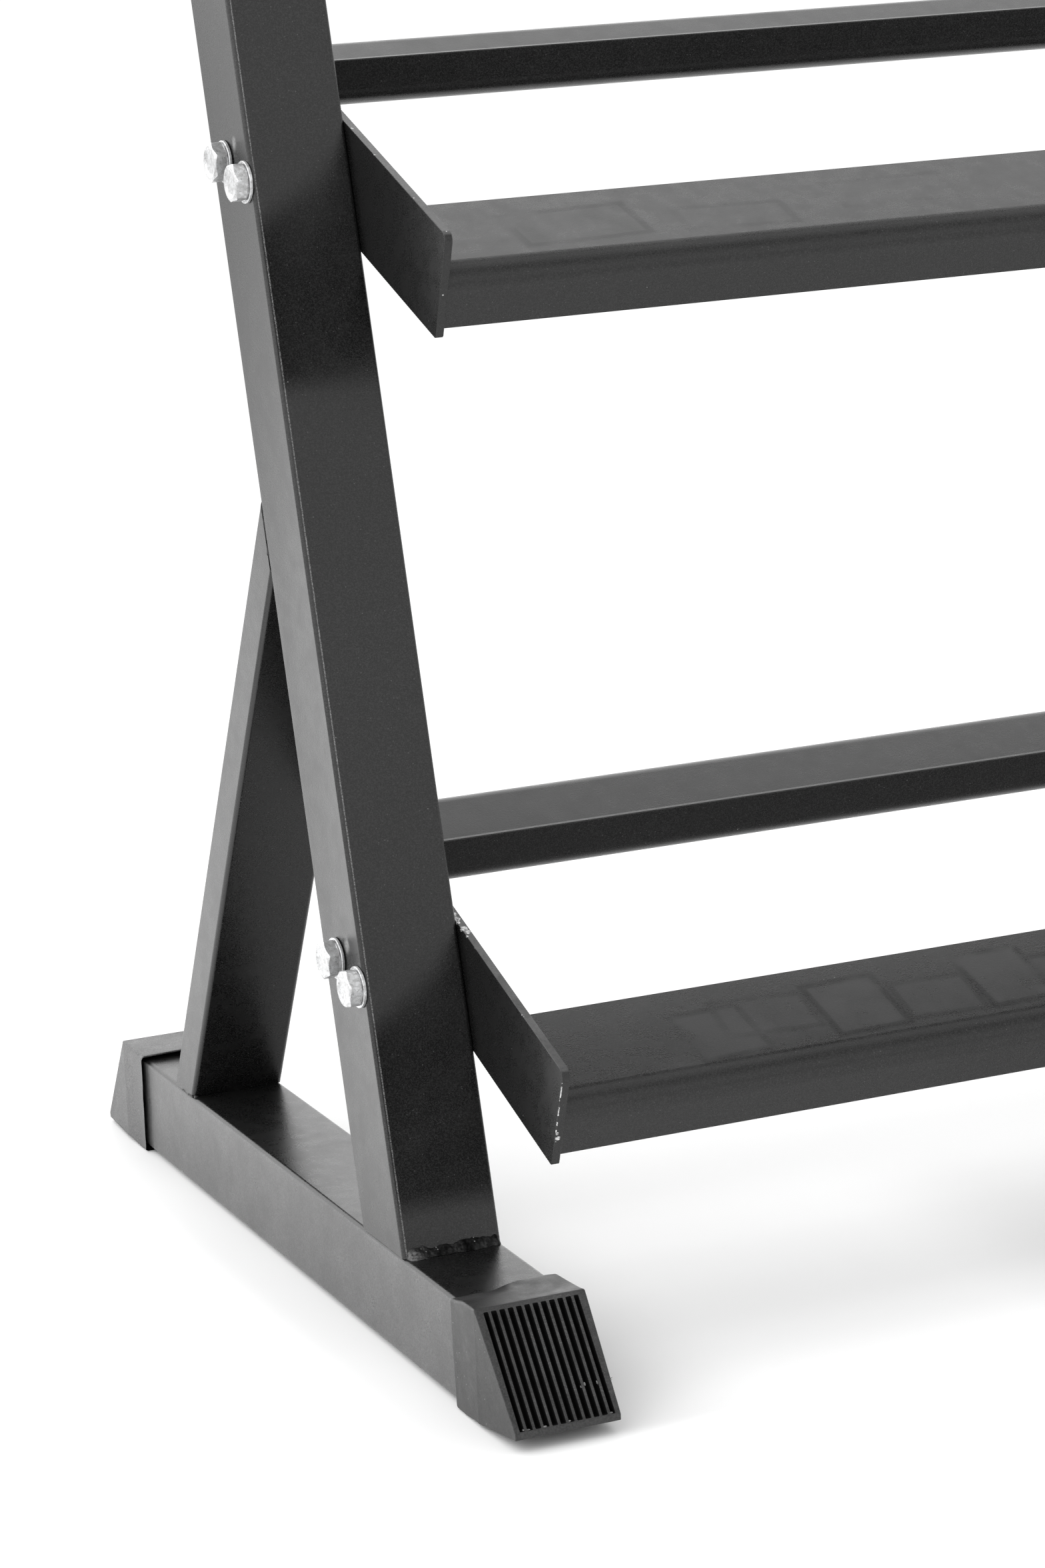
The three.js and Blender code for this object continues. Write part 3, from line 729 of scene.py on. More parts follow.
XL = -HALF - PLATE_T / 2.0
low_chips = [(*tier_point(0, XL - dx, s, n), r) for dx, s, n, r in (
    (0.8, 132.5, 0.0, 0.0036), (0.9, 128.5, 0.0, 0.0034), (1.4, 125.5, 0.0, 0.0022), (0.4, 120.0, 0.0, 0.0036), (-0.2, 116.8, 0.1, 0.0030), (1.7, 113.5, -0.2, 0.0014),
    (1.8, 103.5, -0.1, 0.0006), (1.8, 47.5, -0.2, 0.0006), (1.7, 46.0, -0.1, 0.0006),
    (0.6, 0.0, -36.6, 0.0024), (1.1, 0.0, -33.8, 0.0015), (1.5, 0.1, -38.4, 0.0008), (1.7, 0.2, -5.6, 0.0006),
)]
low_lines = [(0, (XL - 1.78) / 1000.0, 0.00016, -0.035, -0.006)]
up_chips = [(*tier_point(1, XL - dx, s, n), r) for dx, s, n, r in (
    (1.0, 118.0, 0.0, 0.0014), (1.5, 88.0, 0.0, 0.0010), (1.2, 40.0, 0.0, 0.0009), (0.0, 4.0, -0.5, 0.0012), (0.4, 0.0, -30.0, 0.0009),
)]
marks = []
for x, s, hx, hs, turn, amt in (
    (-0.455, 0.036, 0.016, 0.017, 0.06, 0.8), (-0.428, 0.044, 0.022, 0.012, -0.05, 0.6), (-0.382, 0.040, 0.017, 0.019, 0.03, 1.0),
    (-0.340, 0.036, 0.018, 0.013, -0.04, 0.7), (-0.300, 0.043, 0.016, 0.020, 0.05, 1.0), (-0.262, 0.038, 0.019, 0.014, 0.0, 0.9),
    (-0.12, 0.040, 0.030, 0.016, 0.04, 0.8), (0.06, 0.036, 0.024, 0.018, -0.03, 0.9), (0.24, 0.042, 0.034, 0.014, 0.02, 0.7), (0.41, 0.038, 0.022, 0.017, -0.05, 0.9),
):
    marks.append((0, x, s, hx, hs, turn, amt))
marks_up = []
for x, s, hx, hs, turn, amt in (
    (-0.47, 0.040, 0.030, 0.015, 0.05, 0.8), (-0.39, 0.034, 0.026, 0.010, -0.04, 0.6), (-0.30, 0.046, 0.030, 0.012, 0.02, 0.5),
    (-0.05, 0.040, 0.040, 0.014, 0.03, 0.7), (0.22, 0.036, 0.030, 0.016, -0.05, 0.8), (0.40, 0.042, 0.026, 0.012, 0.04, 0.6),
):
    marks_up.append((1, x, s, hx, hs, turn, amt))

# painted light: a pale patch in front of and above the upper bolt of each pair on the upright's outer face
bolt_glints = []
for k in range(3):
    y_, z_ = bolt_yz(k, 1)
    P_ = to_frame([[0.0, y_ - 12.5, z_ + 9.2]], "left")[0]
    bolt_glints.append((float(P_[0]), float(P_[1]), float(P_[2]), (0.0046, 0.0038, 0.0032)[k]))
COAT = coat("powder_coat")
COAT_FOOT = coat("powder_coat_foot", film=0.20)
# painted shade: the third tier's front rail has the sheen of its forward faces lowered too
COAT_HIGH_RAIL = coat("powder_coat_upper_rail", lip=0.31)
# painted shade: each rear rail's raised lip is given less sheen, by tier
COAT_REAR = (coat("powder_coat_lower_lip", lip=0.20, dusty=0.02, marks=((0, -0.50, 0.236, 0.062, 0.013, 0.0, 0.9), (0, -0.33, 0.232, 0.050, 0.009, 0.03, 0.5), (0, 0.20, 0.230, 0.080, 0.012, 0.0, 0.6))),
             coat("powder_coat_middle_lip", lip=0.15), coat("powder_coat_upper_lip", lip=0.09))
COAT_LOW_RAIL = coat("powder_coat_lower_rail", marks=marks, dusty=0.03)
COAT_MID_RAIL = coat("powder_coat_middle_rail", marks=marks_up, dusty=0.03)
COAT_LOW_PLATE = coat("powder_coat_chipped", chips=low_chips, lines=low_lines, edge=True)
COAT_UPRIGHT = coat("powder_coat_upright", arris=(XO - 2.0) / 1000.0, painted_bolt_light=bolt_glints, bands=True)
COAT_PLATE = coat("powder_coat_plate", edge=True)
COAT_MID_PLATE = coat("powder_coat_nicked", chips=up_chips, edge=True)
WELD = weld_coat()
ZINC = zinc()
ZINC_NUT = zinc("zinc_nut", 0.06)
NYLON = nylon()
# painted light: the rear caps get a paler base (0.060, 0.050) than the front ones (0.016), a lit copy of the same black
# moulding
CAP = {("left", "front"): moulded("foot_cap_a", seed=0.0), ("left", "rear"): moulded("foot_cap_b", base=0.060, seed=3.1),
       ("right", "front"): moulded("foot_cap_c", seed=5.7), ("right", "rear"): moulded("foot_cap_d", base=0.050, seed=8.3)}
RECESS_SHADE = recess_shade("cap_recess")
FLASH = moulded("mould_flash", base=0.10, rough=(0.5, 0.6), smudge=0.8, seed=2.0)
PLUG = moulded("top_plug", base=0.014, rough=(0.36, 0.48), smudge=0.25, seed=11.0)


# ----------------------------------------------------------------------- tubes
def square_ring(w, d, r, steps=8, dish=0.0):
    """Outline of a square tube; dish sinks the middle of each flat, as roll-formed tube does."""
    ring = rounded([(0, 0), (w, 0), (w, d), (0, d)], r, True, steps)
    if not dish:
        return ring
    out = []
    for i, p in enumerate(ring):
        q = ring[(i + 1) % len(ring)]
        out.append(p)
        length = math.hypot(q[0] - p[0], q[1] - p[1])
        if length > 8:
            nx, ny = -(q[1] - p[1]) / length, (q[0] - p[0]) / length
            if nx * (w / 2 - p[0]) + ny * (d / 2 - p[1]) < 0:
                nx, ny = -nx, -ny
            for j in range(1, 12):
                t = j / 12
                g = dish * (1 - (2 * t - 1) ** 2)
                out.append((p[0] + (q[0] - p[0]) * t + nx * g, p[1] + (q[1] - p[1]) * t + ny * g))
    return out


def inner_ring(w, d, wall, r, steps=8):
    return rounded([(wall, wall), (w - wall, wall), (w - wall, d - wall), (wall, d - wall)], r, True, steps)


def hollow(outer, inner, place, t0, t1, stops=()):
    """Hollow tube: outer and inner rings (a, b) carried by place(a, b, t) between two cuts."""
    ts = [lambda b: t0(b)] + [(lambda b, s=s: s) for s in stops] + [lambda b: t1(b)]
    O = [[place(a, b, t(b)) for a, b in outer] for t in ts]
    I = [[place(a, b, t(b)) for a, b in inner] for t in ts]
    rings = O + I[::-1]
    return loft(rings, closed=True)


def foot_tube():
    return hollow(square_ring(50, 50, 2.5, dish=0.10), inner_ring(50, 50, 2.3, 1.0), lambda a, b, t: (a, t, b), lambda b: -85.5, lambda b: 393.5)


def upright_place(a, b, t):
    return (a, t * SA + b * CA, 50 + t * CA - b * SA)


def upright_tube():
    return hollow(square_ring(50, 50, 2.1, dish=0.28), inner_ring(50, 50, 2.4, 1.0), upright_place,
                  lambda b: (0.03 + b * SA) / CA, lambda b: 1000.0)


def brace_place(a, b, t):
    return (a, 293 - t * SB + b * CB, 50 + t * CB + b * SB)


def brace_tube():
    def top(b):
        return (293 * CA + b * math.cos(LEAN + BRACE) - 50.03) / math.sin(LEAN + BRACE)
    return hollow(square_ring(50, 25, 2.4), inner_ring(50, 25, 1.6, 0.9), brace_place,
                  lambda b: (0.03 - b * SB) / CB, top)


def cylinder_x(r, x0, x1, y, z, n=40):
    rings = []
    for x in (x0, x1):
        rings.append([(x, y + r * math.cos(2 * math.pi * k / n), z + r * math.sin(2 * math.pi * k / n)) for k in range(n)])
    return loft(rings)


for side in ("left", "right"):
    V, F = foot_tube()
    piece(f"{side}_foot_tube_coated", mesh_of("foot", to_frame(V, side), F), COAT_FOOT, f"{side}_foot_tube")
    V, F = upright_tube()
    me = mesh_of("upright", to_frame(V, side), F)
    holes = []
    for k in range(3):
        for i in (0, 1):
            y, z = bolt_yz(k, i)
            v, f = cylinder_x(5.5, -6, 56, y, z)
            holes.append((to_frame(v, side), f))
    me = cut(me, [mesh_of("holes", *joined(*holes))])
    piece(f"{side}_upright_coated", me, COAT_UPRIGHT, f"{side}_upright_tube")
    V, F = brace_tube()
    piece(f"{side}_brace_coated", mesh_of("brace", to_frame(V, side), F), COAT, f"{side}_brace_tube")

# ----------------------------------------------------------------------- rails
FRONT_LINE = [(74.6, -22.6), (4.1, -21.3), (4.4, -48.8)]
REAR_LINE = [(189.6, 2.8), (186.3, -22.6), (260.4, -18.3), (260.4, -44.0)]


def rail(line, k, bend):
    ring = folded_sheet(line, 2.5, bend, steps=16)
    x0, x1 = -HALF + 0.06, HALF - 0.06
    rings = [[(x, s, n) for s, n in ring] for x in (x0, x1)]
    V, F = loft(rings)
    return from_tier(V, k), F


for k, tier in enumerate(TIERS):
    mat = (COAT_LOW_RAIL, COAT_MID_RAIL, COAT_HIGH_RAIL)[k]
    piece(f"{tier}_front_rail_coated", mesh_of("front_rail", *rail(FRONT_LINE, k, 11.0)), mat, f"{tier}_tier_front_rail")
    piece(f"{tier}_rear_rail_coated", mesh_of("rear_rail", *rail(REAR_LINE, k, 9.0)), COAT_REAR[k], f"{tier}_tier_rear_rail")


# ------------------------------------------------------------------ end plates
def plate_mesh():
    """Flat bar in (s, n) with rounded arrises and two holes, thickness along z."""
    cu = bpy.data.curves.new("plate", "CURVE")
    cu.dimensions = "2D"
    cu.fill_mode = "BOTH"
    bev = 0.30
    outline = rounded([(0, -52), (262, -52), (262, 0), (0, 0)], (1.6, 2.0, 2.0, 4.5), True, 8)
    loops = [outline]
    for s, n in BOLTS:
        loops.append([(s + 5.5 * math.cos(2 * math.pi * j / 36), n + 5.5 * math.sin(2 * math.pi * j / 36)) for j in range(36)])
    for loop in loops:
        sp = cu.splines.new("POLY")
        sp.points.add(len(loop) - 1)
        for p, (a, b) in zip(sp.points, loop):
            p.co = (a, b, 0, 1)
        sp.use_cyclic_u = True
    cu.extrude = PLATE_T / 2 - 0.06 - bev
    cu.bevel_depth = bev
    cu.bevel_resolution = 3
    cu.offset = -bev
    o = bpy.data.objects.new("plate_tmp", cu)
    bpy.context.scene.collection.objects.link(o)
    bpy.context.view_layer.update()
    dg = bpy.context.evaluated_depsgraph_get()
    me = bpy.data.meshes.new_from_object(o.evaluated_get(dg), depsgraph=dg)
    bpy.data.objects.remove(o)
    bm = bmesh.new()
    bm.from_mesh(me)
    bmesh.ops.remove_doubles(bm, verts=bm.verts, dist=0.001)
    bmesh.ops.dissolve_limit(bm, angle_limit=math.radians(0.5), verts=bm.verts, edges=bm.edges)
    bmesh.ops.recalc_face_normals(bm, faces=bm.faces)
    V = np.array([v.co[:] for v in bm.verts])
    F = [tuple(v.index for v in f.verts) for f in bm.faces]
    bm.free()
    return V, F


PV, PF = plate_mesh()
for k, tier in enumerate(TIERS):
    for side in ("left", "right"):
        xc = (HALF + PLATE_T / 2) * (-1 if side == "left" else 1)
        V = np.stack([PV[:, 2] + xc, PV[:, 0], PV[:, 1]], 1)
        mat = COAT_PLATE
        if side == "left":
            mat = (COAT_LOW_PLATE, COAT_MID_PLATE, COAT_PLATE)[k]
        piece(f"{tier}_{side}_end_plate_coated", mesh_of("plate", from_tier(V, k), PF), mat, f"{tier}_tier_{side}_end_plate")


# ------------------------------------------------------------------- fasteners
def polar(rings, r_of, caps=True, n=96):
    """Rings of (height, radius scale or function) about +X, closed at both ends."""
    out = []
    for x, r in rings:
        out.append([(x, r_of(a, r) * math.cos(a), r_of(a, r) * math.sin(a)) for a in (2 * math.pi * j / n for j in range(n))])
    return loft(out, caps=caps)


def hexagon(af, a, p=20.0):
    """Radius of a slightly rounded hexagon with a corner at angle 0."""
    s = 0.0
    for j in range(6):
        c = math.cos(a - math.radians(30 + 60 * j))
        if c > 0:
            s += c ** p
    return (af / 2) / s ** (1 / p)


def hex_head(af=17.0, h=6.56, flange=8.75, n=120):
    """Hexagon head with a thin washer face, a cone turned off its corners and a dished top. Top towards -X."""
    r0, slope = 7.9, math.tan(math.radians(36))
    at = [2 * math.pi * j / n for j in range(n)]
    hx = [hexagon(af, a) for a in at]

    def cone(r):
        return -h + max(0.0, r - r0) * slope
    pts = []
    for x, r in ((0.0, flange - 0.3), (-0.1, flange - 0.06), (-0.28, flange), (-0.42, flange - 0.04), (-0.52, flange - 0.25)):
        pts.append([(x, r, a) for a in at])
    pts.append([(-0.56, min(q, flange - 0.35), a) for q, a in zip(hx, at)])
    pts.append([(-0.62, q - 0.04, a) for q, a in zip(hx, at)])
    pts.append([(-0.85, q, a) for q, a in zip(hx, at)])
    pts.append([(cone(q) + 0.10, q, a) for q, a in zip(hx, at)])
    pts.append([(cone(q - 0.07), q - 0.07, a) for q, a in zip(hx, at)])
    pts.append([(cone(r0 + (q - r0) * 0.5), r0 + (q - r0) * 0.5, a) for q, a in zip(hx, at)])
    for x, r in ((-h + 0.10, r0 + 0.10), (-h, r0 - 0.12), (-h - 0.01, r0 - 0.40), (-h + 0.04, r0 - 0.75), (-h + 0.20, r0 - 1.15), (-h + 0.46, r0 - 1.65),
                 (-h + 0.66, r0 - 2.2), (-h + 0.76, r0 - 2.9), (-h + 0.80, r0 - 4.0), (-h + 0.82, r0 - 5.5), (-h + 0.82, 0.6)):
        pts.append([(x, r, a) for a in at])
    rings3 = [[(x, r * math.cos(a), r * math.sin(a)) for x, r, a in row] for row in pts]
    return loft(rings3)


def thread(r, x0, x1, pitch=1.5, depth=0.85, n=40, per=8):
    """Threaded rod end: a helical ridge that fades in at x0, with a chamfered tip."""
    m = int((x1 - x0) / pitch * per)
    rings = []
    for i in range(m + 1):
        x = x0 + (x1 - x0) * i / m
        row = []
        for j in range(n):
            a = 2 * math.pi * j / n
            ph = (x / pitch - a / (2 * math.pi)) % 1.0
            tri = abs(ph * 2 - 1)
            cutd = depth * (1 - min(1.0, tri * 1.25)) * min(1.0, (x - x0) / pitch)
            rr = r - cutd
            rr = min(rr, r - max(0.0, x - (x1 - 1.2)) * 0.9)
            row.append((x, rr * math.cos(a), rr * math.sin(a)))
        rings.append(row)
    return rings


def bolt_parts():
    head = hex_head()
    n = 40
    rings = [[(x, 5.0 * math.cos(2 * math.pi * j / n), 5.0 * math.sin(2 * math.pi * j / n)) for j in range(n)] for x in (0.0, 52.0)]
    rings += thread(5.0, 52.2, 67.0)
    return head, loft(rings)


def lathe_x(profile, n=64, closed=True):
    """Closed (x, r) profile turned about X."""
    rings = []
    for j in range(n):
        a = 2 * math.pi * j / n
        rings.append([(x, r * math.cos(a), r * math.sin(a)) for x, r in profile])
    return loft(rings, closed=True)


def washer_parts():
    prof = rounded([(0, 5.25), (0, 10.0), (1.6, 10.0), (1.6, 5.25)], (0.2, 0.45, 0.35, 0.2), True, 4)
    return lathe_x(prof)


def nut_parts():
    af, h = 15.0, 10.5
    n = 96
    pts = []

    def row(x, fn):
        pts.append([(x(j) if callable(x) else x, fn(2 * math.pi * j / n), 2 * math.pi * j / n) for j in range(n)])
    row(0.0, lambda a: 5.15)
    row(0.0, lambda a: 10.3)
    row(0.12, lambda a: 10.6)
    row(0.35, lambda a: 10.7)
    row(0.75, lambda a: 10.62)
    row(0.95, lambda a: 10.35)
    row(1.9, lambda a: max(8.75, hexagon(af, a)))
    row(2.1, lambda a: max(8.35, hexagon(af, a)))
    row(2.45, lambda a: hexagon(af, a))
    r0 = af / 2 * 0.96
    top = lambda r: 7.9 - max(0.0, r - r0) * math.tan(math.radians(28))
    pts.append([(top(hexagon(af, a)) - 0.1, hexagon(af, a), a) for a in (2 * math.pi * j / n for j in range(n))])
    pts.append([(top(hexagon(af, a) - 0.12), hexagon(af, a) - 0.12, a) for a in (2 * math.pi * j / n for j in range(n))])
    row(7.92, lambda a: r0)
    row(8.0, lambda a: 6.95)
    row(9.6, lambda a: 6.9)
    row(10.1, lambda a: 6.7)
    row(10.4, lambda a: 6.35)
    row(10.42, lambda a: 6.0)
    row(9.7, lambda a: 5.7)
    row(9.6, lambda a: 5.15)
    rings = [[(x, r * math.cos(a), r * math.sin(a)) for x, r, a in r_] for r_ in pts]
    body = loft(rings, closed=True)
    ring = lathe_x(rounded([(8.1, 4.9), (8.1, 5.65), (9.95, 5.95), (9.95, 5.0)], 0.1, True, 2), 48)
    return body, ring


# corner directions of the hexagons, as turned when the bolts were done up
HEAD_TURN = {(0, "left", 0): 13, (0, "left", 1): 24, (1, "left", 0): 11, (1, "left", 1): 25}
rs = np.random.RandomState(4)
BH, BS = bolt_parts()
WV = washer_parts()
NB, NR = nut_parts()


def stack(VF, k, side, i, x0, turn):
    """Fastener part in its own frame to its place: x0 mm inward from the tube's outer face."""
    V = np.asarray(VF[0], float)
    s, n = BOLTS[i]
    c, q = math.cos(turn), math.sin(turn)
    inward = 1 if side == "left" else -1
    base = (HALF + PLATE_T + 50.0 + 0.06)
    x = -inward * base + inward * (V[:, 0] + x0)
    # corner at angle 0 points to the front; positive turn raises it
    a, b = V[:, 1] * c - V[:, 2] * q, V[:, 1] * q + V[:, 2] * c
    # directions in the plane of the plate, world aligned: front is -Y, up is +Z
    y0 = TIER_Y + k * PITCH * SA - YO
    z0 = TIER_Z + k * PITCH * CA + ZO
    yc = y0 + s * CT - n * ST
    zc = z0 + s * ST + n * CT
    W = np.stack([x, yc - a, zc + b], 1) / 1000.0
    return W, VF[1]


for k, tier in enumerate(TIERS):
    for side in ("left", "right"):
        for i, which in ((0, "front"), (1, "rear")):
            turn = math.radians(HEAD_TURN.get((k, side, i), float(rs.uniform(0, 60))))
            nt = math.radians(float(rs.uniform(0, 60)))
            tag = f"{tier}_{side}_{which}"
            W = stack(WV, k, side, i, -1.6, 0.0)
            piece(f"{tag}_washer_zinc", mesh_of("washer", *W), ZINC, f"{tag}_washer", sharp=60)
            H = joined(stack(BH, k, side, i, -1.66, turn), stack(BS, k, side, i, -1.66, turn))
            piece(f"{tag}_bolt_zinc", mesh_of("bolt", *H), ZINC, f"{tag}_bolt", sharp=32)
            Nn = stack(NB, k, side, i, 54.12, nt)
            piece(f"{tag}_nut_zinc", mesh_of("nut", *Nn), ZINC_NUT, f"{tag}_lock_nut", sharp=32)
            Rr = stack(NR, k, side, i, 54.12, nt)
            piece(f"{tag}_nut_insert", mesh_of("insert", *Rr), NYLON, (), sharp=40)


# ------------------------------------------------------------------- foot caps
def cap_section(bottom, top, half, r, nx=22, nz=14, steps=6):
    """Rounded rectangle between two (u, z) points, evenly divided so it can be bent."""
    h = math.hypot(top[0] - bottom[0], top[1] - bottom[1])
    pts = []

    def run(a, b, n):
        for k in range(n):
            t = k / n
            pts.append((a[0] + (b[0] - a[0]) * t, a[1] + (b[1] - a[1]) * t))

    def arc(cx, cy, a0):
        for k in range(steps):
            a = a0 + math.pi / 2 * k / steps
            pts.append((cx + r * math.cos(a), cy + r * math.sin(a)))
    run((-half + r, 0), (half - r, 0), nx)
    arc(half - r, r, -math.pi / 2)
    run((half, r), (half, h - r), nz)
    arc(half - r, h - r, 0)
    run((half - r, h), (-half + r, h), nx)
    arc(-half + r, h - r, math.pi / 2)
    run((-half, h - r), (-half, r), nz)
    arc(-half + r, r, math.pi)
    return [(25 + x, bottom[0] + (top[0] - bottom[0]) * v / h, bottom[1] + (top[1] - bottom[1]) * v / h) for x, v in pts]


def foot_cap(nb, nt, seed, front):
    """Sleeve and wedge in (x, u, z), u running out from the mouth; nb and nt are the heights of the nose's
    lower and upper edge. The front caps sit down on the tube at the mouth's left and gape at its right."""
    nose, half = 66.45, 27.1
    nz = Noise(seed)
    flare = 0.35 if front else 0.80

    def wide(u):
        return half + flare * (u / 28.4) ** 2
    st = [((0.0, -1.6), (0.0, 52.5), half - 0.38, 1.7), ((0.15, -1.88), (0.15, 52.8), half - 0.1, 1.9), ((0.5, -2.0), (0.5, 52.92), half, 2.0)]
    for u in (1.2, 2.2, 3.5, 5, 7, 9.5, 12, 15, 18, 21, 24.3):
        st.append(((u, -2 + max(0.0, u - 12) / 16.4 * 1.8), (u, 52.92 + 1.46 * u / 28.4), wide(u), 2.0 - 0.7 * u / 28))
    st.append(((26.6, -0.4), (27.0, 54.33), wide(26.8), 1.0))
    st.append(((27.9, -0.25), (28.0, 54.38), wide(27.9), 0.75))
    st.append(((28.3, -0.2), (28.33, 54.22), wide(28.2), 0.6))
    st.append(((28.7, -0.15), (28.6, 53.85), wide(28.2) - 0.03, 0.5))
    top_a, low_a = np.array([28.4, 54.4]), np.array([66.25, nt])
    d = (low_a - top_a) / np.hypot(*(low_a - top_a))
    L = float(np.hypot(*(low_a - top_a)))
    for f in (0.05, 0.14, 0.28, 0.43, 0.58, 0.73, 0.86, 0.94, 0.985):
        t = top_a + (low_a - top_a) * f
        ub = 28.9 + (nose - 0.7 - 28.9) * f
        zb = -0.15 + (nb + 0.15) * (ub - 28.7) / (nose - 28.7)
        st.append(((ub, zb), (float(t[0]), float(t[1])), wide(28.4) - 0.08 - (1.13 + flare) * f, 0.45))
    tp = 1.21
    st.append(((66.05, nb + 0.05), (66.22, nt - 0.02), half - tp - 0.03, 0.4))
    st.append(((66.36, nb + 0.2), (66.38, nt - 0.18), half - tp - 0.12, 0.35))
    st.append(((66.45, nb + 0.5), (66.45, nt - 0.42), half - tp - 0.37, 0.2))
    body = loft([cap_section(*s_) for s_ in st])
    inner = []
    gaps = ((-4.0, 2.15), (0.8, 2.12), (2.2, 2.0), (4.0, 1.5), (6.0, 0.8), (8.0, 0.35)) if not front else \
        ((-4.0, 0.75), (0.4, 0.7), (1.5, 0.45), (3.0, 0.3), (5.5, 0.2), (7.5, 0.15))
    for u, g in gaps + ((10, 0.15), (13, 0.15), (17, 0.15), (21, 0.15), (24.5, 0.15)):
        top = g if not front else (1.25 if u < 1 else max(g, 1.25 * (1 - (u - 0.4) / 6.0)))
        inner.append(cap_section((u, -g), (u, 50.0 + top), 25.0 + g, 1.6))
    socket = loft(inner)
    slant = (-0.6, 1.5) if front else (-1.4, 0.7)

    def bend(V):
        V = np.array(V, float)
        x, u, z = V[:, 0].copy(), V[:, 1].copy(), V[:, 2].copy()
        near = 1 - smooth01(0, 15, u)
        topness = smooth01(44, 50, z)
        side_l, side_r = 1 - smooth01(-1, 6, x), smooth01(44, 51, x)
        if front:
            lift_x = -2.05 * (1 - smooth01(16, 27, x)) + 0.45 * smooth01(27, 36, x) * (1 - smooth01(44, 52, x))
        else:
            lift_x = 0.5 * np.sin(np.clip((x + 2) / 54, 0, 1) * math.pi) - 0.05
        V[:, 2] += near * topness * (lift_x + 0.22 * nz.at(x / 4.5, 3.3))
        mid = np.sin(np.clip(z / 52, 0, 1) * math.pi)
        bulge = (0.15 if front else 0.10) * mid * near + (0.0 if front else 0.20) * (1 - smooth01(0, 6, u)) + 0.12 * near * nz.at(z / 9.0, 1.7)
        # the sleeve's sides stand out a little before the wedge starts
        belly = (0.20 if front else 0.0) * mid * np.exp(-((u - 22.0) / 8.0) ** 2)
        V[:, 0] += (side_r - side_l) * (bulge + belly)
        # the mouth leans back and its edge isn't cut quite straight
        edge = 1 - smooth01(0, 9, u)
        lean = slant[0] + (slant[1] - slant[0]) * np.clip((53 - z) / 55, 0, 1)
        wob = 0.30 * nz.at(x / 8.0 + 10, z / 10.0) + 0.16 * nz.at(x / 2.6, z / 3.2 + 5)
        if front:
            wob = wob + topness * (1.3 * np.exp(-((x - 22.0) / 7.0) ** 2) + 0.35 * nz.at(x / 3.5, 9.0))
        V[:, 1] += edge * (lean + wob)
        return V
    body = (bend(body[0]), body[1])
    socket = (bend(socket[0]), socket[1])
    # slots: drafted pockets with eased mouths, running down to the nose band
    nrm = np.array([-d[1], d[0]])
    if nrm[0] < 0:
        nrm = -nrm
    slots = []
    for i in range(12):
        xs = 25 + (i - 5.5) * 4.08 + (0.2 if i == 0 else -0.2 if i == 11 else 0)
        a = 1.06 if i in (0, 11) else 1.27
        v0, v1 = 2.0, L - 0.55
        rows = []
        for w, g, e in ((1.5, 0.10, 0.0), (0.0, 0.10, 0.0), (-0.10, 0.0, 0.0), (-4.4, -0.12, 2.2)):
            k = 0.12 * nz.at(i * 3.7, 8.0)
            ring = rounded([(-a - g, v0 - g + e), (a + g, v0 - g + e), (a + g, v1 + g - e + k), (-a - g, v1 + g - e)], 0.4, True, 3)
            rows.append([(xs + p, top_a[0] + d[0] * q + nrm[0] * w, top_a[1] + d[1] * q + nrm[1] * w) for p, q in ring])
        slots.append(loft(rows))
    # moulding flash left at the foot of some slots, and a burr at the face's edge
    bits = []
    for i, (q, w, hgt) in ((0, (L - 1.3, 0.45, 0.5)), (1, (L - 1.0, 0.9, 0.35)), (3, (L - 0.9, 1.0, 0.45)), (6, (L - 1.2, 0.5, 0.4)), (9, (L - 16.5, 0.35, 0.9)), (10, (L - 16.0, 0.3, 1.0)), (8, (L - 15.5, 0.25, 0.6)), (11, (L - 1.1, 0.7, 0.4))):
        xs = 25 + (i - 5.5) * 4.08
        side = 1.1 if nz.at(i * 1.3, 2.0) > 0 else -1.0
        c = np.array([xs + side * 0.9, top_a[0] + d[0] * q, top_a[1] + d[1] * q])
        rows = []
        for t in np.linspace(-1, 1, 7):
            r = math.sqrt(max(0.02, 1 - t * t))
            row = []
            for j in range(8):
                a = 2 * math.pi * j / 8
                jag = 1 + 0.4 * nz.at(t * 2 + i, j * 1.1)
                row.append((c[0] + w * r * math.cos(a) * jag, c[1] + d[0] * hgt * t - nrm[0] * 0.15 + nrm[0] * 0.22 * r * math.sin(a) * jag,
                            c[2] + d[1] * hgt * t - nrm[1] * 0.15 + nrm[1] * 0.22 * r * math.sin(a) * jag))
            rows.append(row)
        bits.append(loft(rows))
    if front:
        for q, out in ((L - 16.5, 0.9), (L - 15.6, 0.6)):
            c = np.array([51.6 - 0.75, top_a[0] + d[0] * q, top_a[1] + d[1] * q])
            rows = [[(c[0] + t * out + 0.12 * math.cos(a) * (1 - t * 0.7), c[1] + 0.3 * math.sin(a) * d[0] * (1 - t * 0.6), c[2] + 0.45 * math.sin(a) * (1 - t * 0.6) + 0.3 * t)
                     for a in (2 * math.pi * j / 6 for j in range(6))] for t in (0.0, 0.5, 1.0, 1.5)]
            bits.append(loft(rows))
    return body, socket, joined(*slots), joined(*bits)


